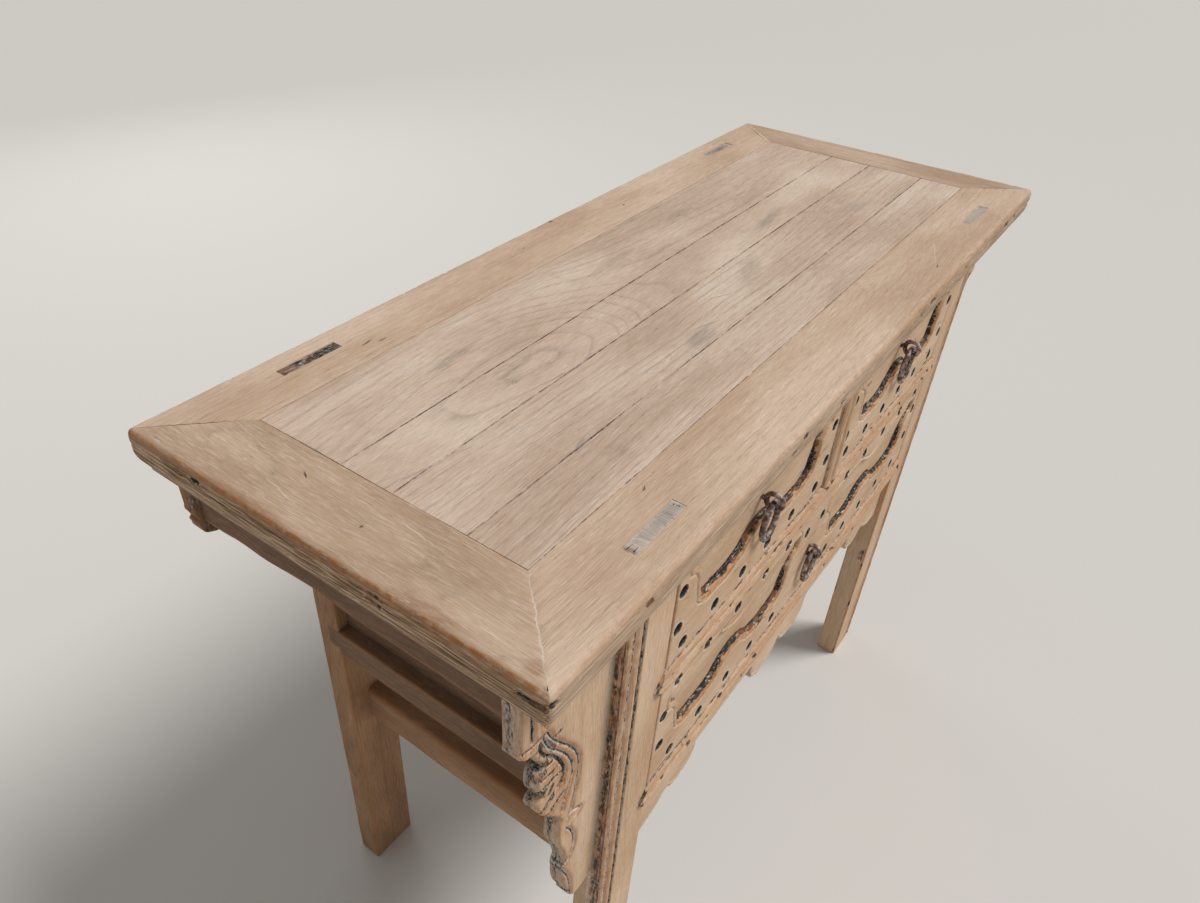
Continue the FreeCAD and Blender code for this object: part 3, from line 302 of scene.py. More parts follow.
def elm(name, tones, line, ringed, limed, blotched, roughness, marks=(), order="", year=6.5):
    """Old elm, scrubbed bare: coarse year rings, short open pores with lime in them, a dry surface.

    tones are three colours of the ground and line is that of a year ring's porous edge. ringed, limed
    and blotched are how strong these are. marks are a colour, a strength and the ovals that have it,
    seen from above. order names the axes along, across and through the wood of a CAD piece, which
    keeps no grain of its own. year is a ring's width in mm."""
    material = bpy.data.materials.new(name)
    node = blank(material)
    place = node("VectorMath.MULTIPLY", node("TexCoord", out="Object"), (1000, 1000, 1000))
    if order:
        parts = node("SeparateXYZ", place).node.outputs
        turned = node("CombineXYZ", *[parts[AXES.index(letter)] for letter in order])
        grain = node("VectorMath.ADD", turned, (0, 130, 40))
    else:
        grain = node("Attribute", attribute_name="grain", out="Vector")

    def field(source, spans, detail=2.0, rough=0.5, out=0):
        """Noise whose lumps have these sizes in mm."""
        scaled = node("VectorMath.MULTIPLY", source, [1 / span for span in spans])
        return node("TexNoise", Vector=scaled, Scale=1, Detail=detail, Roughness=rough, out=out)

    # The year rings: their distance from a pith that comes near the surface once along the board
    bent = node("VectorMath.MULTIPLY_ADD", field(grain, (300, 84, 84), out=1), (0, 22, 22), grain)
    along, across, deep = node("SeparateXYZ", bent).node.outputs
    ahead = node("Math.MULTIPLY", node("Math.MAXIMUM", along, 0), 1 / 150)
    behind = node("Math.MULTIPLY", node("Math.MINIMUM", along, 0), 1 / 380)
    run = node("Math.ADD", ahead, behind)
    rise = node("Math.EXPONENT", node("Math.MULTIPLY", node("Math.MULTIPLY", run, run), -1))
    deep = node("Math.MULTIPLY_ADD", rise, -60, deep)
    far = node("VectorMath.LENGTH", node("CombineXYZ", across, deep), out=1)
    uneven = node("TexNoise", W=node("Math.MULTIPLY", far, 1 / 24), Scale=1, Detail=1,
                  noise_dimensions="1D")
    years = node("Math.MULTIPLY_ADD", uneven, 2.4, node("Math.MULTIPLY", far, 1 / year))
    ring = node("ValToRGB", node("Math.FRACT", years),
                stops=[(0, 1), (0.06, 0.7), (0.16, 0.25), (0.32, 0), (0.93, 0), (1, 0.6)])
    # Fibres are drawn about 1 mm wide, coarser than they are, so that they show
    fibre = field(bent, (24, 1, 1), 3, 0.66)
    pore = node("MapRange", field(bent, (11, 0.8, 0.8), 1), 0.60, 0.70)
    patch = field(grain, (190, 62, 62), 3)
    cloud = field(place, (34, 34, 34), 4, 0.6)
    speck = field(bent, (6, 1.8, 1.8), 2, 0.6)
    patchy = field(place, (9, 9, 9), 3, 0.65)
    streaky = field(bent, (34, 2.4, 2.4), 3, 0.65)
    mottled = node("Math.ADD", patchy, streaky)
    worn, crust_and_shade, lime, bare = (node("Attribute", attribute_name=kind, out="Fac") for kind in WEAR)

    # The ground and what lies over it: rings, dark fibres, lime, pores, chalk and blotches
    tone = node("ValToRGB", patch, stops=list(zip((0.34, 0.5, 0.66), tones)))
    faint = node("MapRange", field(grain, (120, 30, 30)), 0.3, 0.62, 0.25, 1)
    chalk = node("MapRange", field(bent, (22, 1.3, 1.3), 3, 0.72), 0.575, 0.66, 0, limed)
    layers = [
        (line, node("Math.MULTIPLY", node("Math.MULTIPLY", ring, faint), ringed)),
        (line, node("MapRange", fibre, 0.52, 0.74, 0, 0.55)),
        ("#e3d8ca", node("MapRange", fibre, 0.46, 0.30, 0, limed)),
        ("#54473d", node("Math.MULTIPLY", pore, node("MapRange", ring, 0, 0.8, 0.10, 0.34))),
        ("#e6dccf", node("Math.MULTIPLY", chalk, node("MapRange", patch, 0.35, 0.6, 0.35, 1))),
        ("#6f6053", node("MapRange", cloud, 0.60, 0.78, 0, blotched)),
    ]
    # Weather: bare sides are brown and stringy, with open dark splits between their fibres
    raw = node("ValToRGB", field(bent, (60, 1.5, 1.5), 4, 0.7),
               stops=[(0.37, "#46352a"), (0.44, "#826347"), (0.52, "#9f7d5d"), (0.60, "#cbb293")])
    # Wear: rubbed edges are orange and smooth, hollows keep a black crust with white specks; the same crust
    # is also painted as shade on parts that are given it for that
    worn_share = node("Math.MULTIPLY", worn, node("MapRange", mottled, 0.78, 1.15, 0.15, 1))
    flecks = node("Math.MULTIPLY_ADD", patchy, 0.35, node("Math.MULTIPLY", speck, 0.65))
    flecks = node("Math.SUBTRACT", flecks, node("MapRange", crust_and_shade, 1, 2, 0, 0.2))
    crust = node("ValToRGB", flecks, stops=[(0.42, "#191513"), (0.51, "#3f352e"), (0.58, "#7b7066"),
                                            (0.66, "#c9c0b4")])
    rusty = node("MapRange", field(bent, (26, 12, 12)), 0.54, 0.63, 0, 0.6)
    rusty = node("Math.MULTIPLY", rusty, node("MapRange", crust_and_shade, 1.1, 1.5, 1, 0))
    ragged = node("Math.MULTIPLY_ADD", mottled, 0.65, crust_and_shade)
    crust_and_shade_share = node("MapRange", ragged, 1, 1.16)
    layers += [
        (raw, bare),
        ("#a66c38", worn_share),
        (node("Mix", rusty, crust, "#8c5c38"), crust_and_shade_share),
        ("#d9d2c7", node("Math.MULTIPLY", lime, node("MapRange", speck, 0.38, 0.56))),
    ]
    if marks:
        level = node("VectorMath.MULTIPLY", place, (1, 1, 0))
        shift = field(level, (12, 12, 12), 3, 0.6, out=1)
        level = node("VectorMath.MULTIPLY_ADD", shift, (5, 5, 0), level)
        level = node("VectorMath.SUBTRACT", level, (2.5, 2.5, 0))
        streak = node("MapRange", fibre, 0.28, 0.56, 0.35, 1)
        for colour, strength, spots in marks:
            share = node("Math.MULTIPLY", blot(node, level, spots), strength)
            layers.append((colour, node("Math.MULTIPLY", share, streak)))
    for colour, share in layers:
        tone = node("Mix", share, tone, colour)

    dull = node("MapRange", fibre, 0.3, 0.7, roughness - 0.06, roughness + 0.08)
    dull = node("Math.MULTIPLY_ADD", worn_share, -0.22, dull)
    height = node("Math.MULTIPLY_ADD", ring, -0.25, node("Math.MULTIPLY", fibre, 0.9))
    height = node("Math.MULTIPLY_ADD", pore, -0.35, height)
    height = node("Math.MULTIPLY_ADD", node("Math.MULTIPLY", speck, crust_and_shade_share), 2.5, height)
    bump = node("Bump", Strength=0.55, Distance=0.0006, Height=height)
    surface = node("BsdfPrincipled", Base_Color=tone, Roughness=dull, Normal=bump, Specular_IOR_Level=0.32)
    node("OutputMaterial", surface)
    return material


def wrought_iron(name):
    """Hammered iron with an old brown coat: dull facets, rust grit, and a coat pale on the crowns and dark
    in the dips, partly rubbed metal and partly painted highlight and shade.

    The hammer's dents are 6 mm wide and the grit of the rust is 1 mm wide."""
    material = bpy.data.materials.new(name)
    node = blank(material)
    metres = node("TexCoord", out="Object")
    dents = node("TexNoise", Vector=metres, Scale=160, Detail=3, Roughness=0.6)
    grit = node("TexNoise", Vector=metres, Scale=900, Detail=2)
    # Pale crowns and dark dips: partly rubbed metal, partly painted highlight and shade
    skin_and_painted_light = node("ValToRGB", dents, stops=[(0.32, "#352b29"), (0.45, "#65544d"), (0.54, "#908078"),
                                          (0.64, "#c3b8b1")])
    tone = node("Mix", node("MapRange", grit, 0.56, 0.7, 0, 0.5), skin_and_painted_light, "#7a4a30")
    dull = node("MapRange", grit, 0.3, 0.7, 0.42, 0.68)
    bump = node("Bump", Strength=0.6, Distance=0.0004, Height=node("Math.MULTIPLY_ADD", dents, 3, grit))
    surface = node("BsdfPrincipled", Base_Color=tone, Roughness=dull, Metallic=0.35, Normal=bump)
    node("OutputMaterial", surface)
    return material


BOARD_MARKS = (
    ("#8f8175", 0.55, ((-110, -74, 34, 14, 8), (-335, -87, 13, 4, 12), (210, 12, 60, 9, 6),
                       (-300, 92, 40, 7, 4))),
    ("#9a8878", 0.45, ((60, -40, 50, 16, 20), (330, -60, 46, 10, -6), (-20, 96, 50, 8, 3),
                       (150, 110, 40, 8, 0))),
    ("#2e2722", 0.55, ((-294, 18, 3.6, 3, 0), (-20, -43, 25, 0.9, -27), (-84, -65, 22, 0.8, -18),
                       (-400, 49, 70, 0.6, 0), (-250, -10.5, 60, 0.6, 0), (-478.5, 80, 1.4, 70, 0))),
    ("#e4dccf", 0.45, ((-294, 18, 2, 1.6, 30), (-160, -70, 34, 0.9, 6), (-60, -110, 70, 0.8, 2),
                       (180, -120, 60, 0.8, -2), (300, 20, 50, 0.7, 3))),
)
FRAME_MARKS = (
    ("#efe7da", 0.6, ((-516, -184, 58, 0.9, 45.4),)),
    ("#2b2420", 0.85, ((519, 188, 52, 0.9, 49.8), (-520, 190, 56, 0.8, -44), (526, -186, 52, 0.9, -51.3),
                       (-330, 176, 9, 1.6, 6), (-316, 168, 7, 1.2, -4), (-60, 196, 3, 1.4, 0),
                       (24, 222, 6, 4, 0), (130, 181, 4, 1.5, 20), (215, -205, 7, 1.2, 10),
                       (-350, -160, 5, 1, 30), (-520, -20, 2.4, 2, 0), (-505, 60, 7, 1, 60))),
    ("#eadfce", 0.35, ((250, -190, 44, 0.8, 20), (-500, -60, 42, 0.9, 84), (-530, 60, 30, 0.9, 80),
                       (-210, -200, 40, 0.8, 4), (320, -170, 30, 0.7, -14), (-60, 180, 46, 0.7, 3))),
    ("#8a5c3c", 0.45, ((-550, -120, 6, 40, 0), (-545, -205, 8, 10, 0), (-553, 80, 4, 60, 0))),
)
TENON_MARKS = (
    ("#96694f", 0.7, ((-416.5, -191.5, 4, 8, 0), (-411, 196, 13, 8, 0))),
    ("#5f4a3e", 0.6, ((-354, 196, 7, 7, 0), (407, 195.5, 33, 7, 0))),
)
# The ground's tones, the rings' colour, how ringed, limed and blotched, the roughness
INSIDE_PAINTED_SHADE = (("#7d644e", "#8c725b", "#998069"), "#684f3b", 0.5, 0.10, 0.35, 0.8)
top_board_elm = elm("elm_scrubbed_boards", ("#bda38c", "#cbb29c", "#d7c1ad"), "#8f7c6d", 0.5, 0.45, 0.22,
                    0.74, BOARD_MARKS, year=9)
top_frame_elm = elm("elm_scrubbed_frame", ("#be9f83", "#caad93", "#d4b9a1"), "#a1856c", 0.34, 0.40, 0.18,
                    0.72, FRAME_MARKS, year=11)
top_end_elm = elm("elm_scrubbed_end", ("#ae9076", "#ba9d83", "#c6aa91"), "#96795f", 0.36, 0.36, 0.22,
                  0.72, FRAME_MARKS, year=11)
front_elm = elm("elm_carved_front", ("#c09b77", "#ccab8a", "#d8b99a"), "#a37e5b", 0.38, 0.34, 0.20, 0.72)
# Darker than the front's elm: partly the wood's own brown and partly painted shade, for the parts behind
# and below
frame_elm = elm("elm_brown_frame_partly_painted_shade", ("#94704f", "#a57e5b", "#b58d69"), "#75553b", 0.5, 0.16, 0.35, 0.76)
# Darker still, for the ends and the rear brackets: painted shade, as these parts lie in shadow under the
# top
shaded_elm = elm("elm_painted_shade_ends", ("#6a4e38", "#775942", "#86664d"), "#543c2a", 0.5, 0.12, 0.35, 0.76)
tenon_elm = elm("elm_end_grain", ("#a6998c", "#b5a799", "#c3b6a8"), "#857769", 0.4, 0.5, 0.3, 0.82,
                TENON_MARKS)
# The inside parts take darker tones than the outer wood, as painted shade
inner_elm_x = elm("elm_inside_boards_painted_shade", *INSIDE_PAINTED_SHADE, order="xzy")
inner_elm_y = elm("elm_inside_bars_painted_shade", *INSIDE_PAINTED_SHADE, order="yzx")
iron = wrought_iron("hammered_iron")


# The top: four boards in a mitred frame with a rounded, chipped edge

# A member's outer edge from its foot up: inset from the edge, height and wear
EDGE_PROFILE = (
    (9, 0, 0, 0.2, 0, 0.9), (8.6, 4, 0, 0.2, 0, 0.9), (8.5, 8, 0, 0.8, 0, 0.6), (6.4, 8.8, 0, 1.1, 0, 0.3),
    (4.5, 10, 0.2, 0.2, 0.45, 0.3), (2.8, 12.8, 0.2, 0.1, 0.3, 0.6), (1.5, 16, 0.1, 0.24, 0, 1),
    (0.6, 19.5, 0, 0.22, 0, 1), (0, 23, 0, 0.24, 0, 1), (0, 27, 0, 0.22, 0, 1), (0, 31, 0, 0.24, 0, 1),
    (0.1, 35, 0.1, 0.2, 0, 1), (0.4, 38.5, 0.5, 0.1, 0, 0.8), (1, 41.2, 0.9, 0, 0, 0.4), (2.2, 43.2, 1.2),
    (4, 44.3, 0.4), (6.5, 44.8), (10, 45), (16, 45),
)
EDGE_WIDTH = 81
THICKNESS = TABLE_TOP - UNDERSIDE
CORNER_ROUND = 6
# The tenon ends that show in the top: low and high corner, how far sunk, how crusted and how limed
TENONS = (
    ((-420, -198), (-347, -185), 0.5, 0, 0.9),
    ((369, -198), (442, -185), 0.3, 0.05, 0.3),
    ((-420, 189), (-350, 202), 0.9, 0.52, 0.3),
    ((372, 189), (442, 202), 0.6, 0.30, 0.3),
)

# across is the axis that a member's width lies on, and side whether it is the low or the high one there.
# rubbed is how orange its upper edge has become.
for name, node, across, side, heart, rubbed in (
        ("front_stile", "top_front_stile", 1, 0, (160, 320, 770), 0.25),
        ("rear_stile", "top_rear_stile", 1, 1, (-60, -280, 770), 0.25),
        ("left_end_member", "top_left_end", 0, 0, (-500, 130, 700), 1.0),
        ("right_end_member", "top_right_end", 0, 1, (940, 60, 770), 0.3)):
    along = 1 - across
    outer, inner = EDGES[across][side], PANEL[across][side]
    width = abs(outer - inner)
    share = width / EDGE_WIDTH
    profile = [(inset * share, *more) for inset, *more in EDGE_PROFILE]
    profile += [(width * at, THICKNESS) for at in (0.35, 0.55, 0.75)]
    profile += [(width - 3, THICKNESS), (width, THICKNESS), (width, 0)]
    section = []
    for inset, z, *wear in profile:
        spot = [EDGES[along][0]] * 2
        spot[across] = outer + (-inset if side else inset)
        section.append((*spot, UNDERSIDE + z, *wear))
    travel = [0, 0, 0]
    travel[along] = EDGES[along][1] - EDGES[along][0]
    member = bar(name, section, travel, 2.4)
    for way, corner, panel in zip((-1, 1), EDGES[along], PANEL[along]):
        start, facing = [0, 0, 0], [0, 0, 0]
        start[across], start[along] = outer, corner
        facing[across], facing[along] = -way * (panel - corner) / (inner - outer), way
        cut(member, start, facing)
    # The outer edge is worn: softly, in long splits of its side and in small dents
    where = places(member)
    inset = np.abs(where[:, across] - outer)
    rise = where[:, 2] - UNDERSIDE
    long = [6, 6, 4.5]
    long[along] = 26
    edge = smooth(inset, 16 * share, 3) * smooth(rise, 6, 12)
    soft = 0.7 * lumps(where, 46) + 0.4 * lumps(where, 15, 1)
    dents = 1.3 * smooth(lumps(where, (6, 6, 4), 3), 0.30, 0.55) * ridge(rise, 42, 5)
    splits = 3.4 * smooth(lumps(where, long, 2), 0.40, 0.60)
    splits *= edge * (ridge(rise, 32, 7) + 0.7 * ridge(rise, 15, 4))
    where -= outward(member) * (edge * (0.8 * soft.clip(-0.2, 2) + dents) + splits)[:, None]
    where[:, 2] += smooth(rise, 44, 45) * (1 - edge) * 0.35 * lumps(where, 60, 4)
    # The corner is rounded by drawing a square ring of the edge onto a circle
    for corner in ((-1, -1), (-1, 1), (1, -1), (1, 1)):
        centre = np.multiply(corner, (EDGES[0][1] - CORNER_ROUND, EDGES[1][1] - CORNER_ROUND))
        away = where[:, :2] - centre
        out = (away * corner > 0).all(1)
        shrunk = np.abs(away).max(1) / (np.hypot(*away.T) + 1e-9)
        where[out, :2] = (centre + away * shrunk[:, None])[out]
    put(member, where)
    mark(member, "crust_and_shade", marked(member, "crust_and_shade") + 0.7 * smooth(splits, 1.2, 2.6))
    mark(member, "worn", marked(member, "worn") * rubbed)
    mark(member, "bare", marked(member, "bare") * (0.55 if across else 1.0))
    for low, high, *_ in TENONS if across else ():
        if (low[1] > 0) == (outer > 0):
            low, high = np.array((*low, TABLE_TOP - 9)), np.array((*high, TABLE_TOP + 5))
            bpy.ops.object.select_all(action="DESELECT")
            bpy.ops.mesh.primitive_cube_add(size=1, calc_uvs=False, location=Vector((low + high) / 2 * MM),
                                            scale=Vector((high - low + (0.3, 0.3, 0)) * MM))
            tool = bpy.context.object
            with_modifier(member, "BOOLEAN", object=tool, operation="DIFFERENCE", solver="EXACT")
            bpy.data.objects.remove(tool)
    with_modifier(member, "BEVEL", width=0.5 * MM, segments=2, limit_method="ANGLE",
                  angle_limit=math.radians(50))
    dress(member, top_frame_elm if across else top_end_elm, "xyz" if across else "yxz", heart,
          node)

for number, (low, high, sunk, crusted, limed) in enumerate(TENONS, start=1):
    (x0, y0), (x1, y1) = np.add(low, 0.1), np.subtract(high, 0.1)
    face = TABLE_TOP - sunk
    outline = bowed([(x0, y0), (x1, y0), (x1, y1), (x0, y1), (x0, y0)], 3)[:-1]
    tenon = bar("tenon_end_%d" % number, [(x, y, face - 8) for x, y in outline], (0, 0, 8), 4)
    open_mesh(tenon, "FACE", "DESELECT")
    mesh = bmesh.from_edit_mesh(tenon.data)
    for side in mesh.faces:
        side.select_set(len(side.verts) > 8 and side.calc_center_median().z > (face - 1) * MM)
    bmesh.update_edit_mesh(tenon.data)
    bpy.ops.mesh.inset(thickness=1.0 * MM, depth=0.0)
    bpy.ops.mesh.inset(thickness=3.0 * MM, depth=0.25 * MM)
    close_mesh()
    where = places(tenon)
    where[:, :2] += 0.3 * np.stack([lumps(where, 6, 7), lumps(where, 6, 8)], 1)
    put(tenon, where)
    rim = np.minimum(where[:, :2] - low, high - where[:, :2]).min(1)
    mark(tenon, "lime", smooth(rim, 1.4, 0.4) * limed)
    mark(tenon, "crust_and_shade", crusted * smooth(where[:, 2], face - 2, face - 0.5))
    dress(tenon, tenon_elm, "yxz" if number == 1 else "xyz", (low[0] - 40, low[1] - 330, 700),
          angle=30)

BOARD_HEARTS = ((-250, 35, 740), (-250, 35, 740), (60, 380, 770), (-420, 420, 770))
# A board's long edge from its foot up: inset, height and wear
BOARD_EDGE = ((0.4, 0), (0.05, 0.5, 0, 0.2), (0.05, 17.2, 0, 0.3), (0.6, 17.9, 0, 0.5), (1.5, 18))
for number, (high_y, low_y, heart) in enumerate(zip(SEAMS, SEAMS[1:], BOARD_HEARTS), start=1):
    width = high_y - low_y
    count = round(width / 11)
    section = [(low_y + inset, *more) for inset, *more in BOARD_EDGE]
    section += [(low_y + width * at / count, 18) for at in range(1, count)]
    section += [(high_y - inset, *more) for inset, *more in reversed(BOARD_EDGE)]
    start = PANEL[0][0] + 0.8
    board = bar("top_plank_%d" % number, [(start, y, 832 + z, *wear) for y, z, *wear in section],
                (PANEL[0][1] - 0.4 - start, 0, 0), 9)
    where = places(board)
    swelling = 0.3 * lumps(where, (90, 40, 40), 5) - 0.25 + 0.12 * lumps(where, (20, 9, 9), number - 1)
    where[:, 2] += smooth(where[:, 2], 848, 849.7) * swelling
    put(board, where)
    dress(board, top_board_elm, "xyz", heart, "top_board_%d" % number)


# Legs: the front ones have two beads by their outer corner

BEAD_DEPTH = 2.6
BEAD_STEPS = 8


def arch(start, end, rise, worn, limed=0.0, crusted=0.0):
    """A bead's round: points from start to end across it, raised in its middle."""
    spots = []
    for at in range(BEAD_STEPS + 1):
        share = at / BEAD_STEPS
        behind = BEAD_DEPTH - rise * math.sin(math.pi * share) ** 0.7
        spots.append((start + (end - start) * share, behind, worn, crusted, limed))
    return spots


# Across the leg from its outer edge, depth behind its face and wear
LEG_FACE = (
    [(0, 33), (0, 18), (0.1, 16.4, 0, 0.2, 1), (0.3, 14.6, 0.3, 0.34, 0.3), (0.6, 11, 0.7, 0.44),
     (0.7, 8, 0.8, 0.5), (0.4, 5, 0.9, 0.36, 0.1), (0.1, 3.4, 0.5, 0.85, 0.3)]
    + arch(0.4, 9.6, 2.5, 0.85, 0.08, 0.28)
    + [(10, 2.8, 0.1, 0.6, 1), (10.5, 3.6, 0, 0.7, 1), (12.5, 3.6, 0, 0.7, 1), (13, 2.8, 0.1, 0.6, 1)]
    + arch(13.4, 23.6, 2.5, 0.6)
    + [(24, 3, 0, 0.6, 0.5), (24.5, 3.8, 0, 1, 0.2), (25.7, 3.8, 0, 1, 0.2), (26.2, 0.8, 0, 0.4, 0.7),
       (26.8, 0.1, 0.3), (30, 0), (44, 0), (58, 0), (68, 0), (71.4, 0.2, 0.3), (72.6, 0.7, 0.7, 0.1),
       (73, 1.9, 0.6, 0.2), (73, 6), (73, 30), (72.6, 33.2, 0.4), (71.5, 34, 0.4), (60, 34),
       (1.5, 34, 0.3)]
)
# The legs' faces at the floor
FRONT_FOOT, REAR_FOOT = -206, 217
REAR_LEG = (70, 35)


def rounded_section(low, high, radius, worn=0.55):
    """A stick's section as points of u, v and how worn they are, with its corners rounded."""
    (u0, v0), (u1, v1) = low, high
    spots = []
    for cu, cv, start in ((u1, v1, 0), (u0, v1, 90), (u0, v0, 180), (u1, v0, 270)):
        centre_u = cu - math.copysign(radius, cu - (u0 + u1) / 2)
        centre_v = cv - math.copysign(radius, cv - (v0 + v1) / 2)
        turns = [math.radians(start + step) for step in (0, 30, 60, 90)]
        arc = [(centre_u + radius * math.cos(turn), centre_v + radius * math.sin(turn), worn)
               for turn in turns]
        before = (arc[0][0] + 4 * math.sin(turns[0]), arc[0][1] - 4 * math.cos(turns[0]), 0)
        after = (arc[-1][0] - 4 * math.sin(turns[-1]), arc[-1][1] + 4 * math.cos(turns[-1]), 0)
        spots += [before, *arc, after]
    return spots


def roughen(obj, amount, span, turn):
    """Hand-worked unevenness: the surface moves in or out by up to the amount in mm."""
    where = places(obj)
    swell(obj, amount * (lumps(where, span, turn) + 0.5 * lumps(where, span / 3.1, turn + 1)))


for side, (_, inward) in LEGS.items():
    outer = leg_side(side, 0)
    section = [(outer + inward * u, FRONT_FOOT + v, 0, *wear) for u, v, *wear in LEG_FACE]
    leg = bar("front_leg_" + side, section, (13 * inward, 4, UNDERSIDE), 3.2)
    where = places(leg)
    u = inward * (where[:, 0] - (outer + inward * LEAN_ACROSS * where[:, 2]))
    v = where[:, 1] - (FRONT_FOOT + LEAN_DEEP * where[:, 2])
    moulded = smooth(u, 29, 25) * smooth(v, 20, 14)
    coarse = lumps(where, (8, 8, 14), 3)
    channel = smooth(u, 1.2, 0.2) * smooth(v, 17, 14) * smooth(v, 2.5, 5.5)
    where[:, 0] += inward * channel * (1.6 + 1.6 * coarse)
    where[:, 1] += moulded * (0.45 * lumps(where, (9, 9, 24), 4) + 0.25 * coarse)
    where[:, 0] += moulded * 0.35 * lumps(where, (12, 12, 40), 5)
    worn_foot = smooth(where[:, 2], 26, 0) * 1.6 * np.abs(lumps(where, (14, 14, 12), 6))
    put(leg, where - outward(leg) * worn_foot[:, None] * (1, 1, 0))
    inner_side = smooth(u, LEG_WIDTH - 3, LEG_WIDTH) * (1 if side == "right" else 0.4)
    mark(leg, "crust_and_shade", marked(leg, "crust_and_shade")
         + 0.5 * inner_side * smooth(lumps(where, (10, 10, 30), 9), 0.3, 0.5)
         + 0.5 * smooth(where[:, 2], 16, 0) * smooth(lumps(where, 9, 4), 0, 0.4))
    dress(leg, front_elm, "zxy", (outer + inward * 380, -120, 300 if side == "left" else 520),
          "front_%s_leg" % side)

for side, (_, inward) in LEGS.items():
    outer = leg_side(side, 0)
    low, high = sorted((outer, outer + inward * REAR_LEG[0]))
    outline = rounded_section((low, REAR_FOOT - REAR_LEG[1]), (high, REAR_FOOT), 2.2)
    leg = bar("rear_leg_" + side, [(u, v, 0, worn, 0.15 * worn) for u, v, worn in outline],
              (13 * inward, -4, UNDERSIDE), 9)
    roughen(leg, 0.6, 60, 3)
    dress(leg, frame_elm, "zxy", (outer - inward * 290, 120, 260), "rear_%s_leg" % side)


# Rails and divider of the front

def moulded_section(width, depth):
    """Two beads with a groove between them: across the moulding, depth behind its face and wear."""
    bead = width / 2 - 2
    return ([(0, depth - 1), (0, 8), (0.1, 3.6, 0.2, 0.5, 0.5)] + arch(0.5, bead - 0.4, 2.6, 0.4)
            + [(bead, 2.7, 0, 0.4, 1), (bead + 0.6, 3.3, 0, 0.6, 1), (bead + 3.4, 3.3, 0, 0.6, 1),
               (bead + 4, 2.7, 0, 0.4, 1)]
            + arch(bead + 4.4, width - 0.5, 2.6, 0.4)
            + [(width - 0.1, 3.6, 0.2, 0.5, 0.5), (width, 8), (width, depth - 1), (width - 1, depth),
               (1, depth)])


# Each rail's foot and the x of its pointed ends
for name, node, foot, tips in (("middle_rail", "front_mid_rail", 625, (-366.7, 388.7)),
                               ("bottom_rail", "front_bottom_rail", 440, (-369.7, 391.7))):
    section = [(tips[0], -207 + v, foot + w, *wear) for w, v, *wear in moulded_section(30, 34)]
    rail = bar(name, section, (tips[1] - tips[0], 0, 0), 3.2)
    for tip, way in zip(tips, (1, -1)):
        cut(rail, (tip, 0, foot + 15), (-15 * way, 0, 15.5))
        cut(rail, (tip, 0, foot + 15), (-15 * way, 0, -15.5))
    where = places(rail)
    face = smooth(where[:, 1], -196, -201)
    broken = lumps(where, (20, 6, 6), 8)
    where[:, 1] += face * (0.5 * lumps(where, (26, 9, 9), 4) + 0.25 * lumps(where, (8, 5, 5), 3)
                           + 2.2 * smooth(broken, 0.42, 0.62))
    where[:, 2] += face * 0.4 * lumps(where, (38, 9, 9), 5)
    put(rail, where)
    ends = smooth(np.abs(where[:, 0] - 11), 362, 374)
    mark(rail, "crust_and_shade", marked(rail, "crust_and_shade") + 0.6 * ends * face
         + 0.8 * face * smooth(lumps(where, (20, 6, 6), 8), 0.36, 0.5))
    dress(rail, front_elm, "xzy", (80, -120, foot - 290), node)

DIVIDER_FOOT = 643
section = [(-5 + w, -208 + v, DIVIDER_FOOT, *wear) for w, v, *wear in moulded_section(32, 35)]
divider = bar("divider_post", section, (0, 0, UNDERSIDE - DIVIDER_FOOT), 3.2)
for slope in (-12, 12):
    cut(divider, (11, 0, DIVIDER_FOOT), (slope, 0, -16))
where = places(divider)
face = smooth(where[:, 1], -196, -201)
where[:, 1] += face * (0.45 * lumps(where, (9, 9, 26), 4) + 0.25 * lumps(where, (5, 5, 8), 3))
where[:, 0] += face * 0.35 * lumps(where, (9, 9, 38), 5)
put(divider, where)
mark(divider, "crust_and_shade", marked(divider, "crust_and_shade") + 0.8 * smooth(where[:, 2], 657, 650) * face)
dress(divider, front_elm, "zxy", (290, -150, 700), "drawer_divider")


# Carved boards: an outline filled with a fine net of points, which a carving pushes in

def mirrored(half, centre):
    """Closes an outline whose right half is given, from below the centre to above it."""
    other = half[::-1] * (-1, 1) + (2 * centre, 0)
    return np.concatenate([half, other[1:-1]])


def nearest_of(spots):
    tree = kdtree.KDTree(len(spots))
    for number, (x, z) in enumerate(spots):
        tree.insert((x, z, 0), number)
    tree.balance()
    return tree


def from_line(points, line):
    """Distance in mm of each point from a close line: to the stretches beside its nearest corner."""
    if not len(points):
        return np.zeros(0)
    tree = nearest_of(line)
    near = np.array([tree.find((x, z, 0))[1] for x, z in points])
    best = np.full(len(points), 1e9)
    for shift in (-1, 0):
        first = np.clip(near + shift, 0, len(line) - 2)
        start, way = line[first], line[first + 1] - line[first]
        share = np.clip(((points - start) * way).sum(1) / ((way * way).sum(1) + 1e-12), 0, 1)
        best = np.minimum(best, np.hypot(*(points - start - share[:, None] * way).T))
    return best


def from_rim(points, outline):
    return from_line(points, np.concatenate([outline, outline[:1]]))


def within(points, outline):
    inside = np.zeros(len(points), bool)
    for (x0, z0), (x1, z1) in zip(outline, np.roll(outline, -1, 0)):
        crossed = (z0 > points[:, 1]) != (z1 > points[:, 1])
        level = x0 + (points[:, 1] - z0) * (x1 - x0) / (z1 - z0 if z1 != z0 else 1.0)
        inside ^= crossed & (points[:, 0] < level)
    return inside


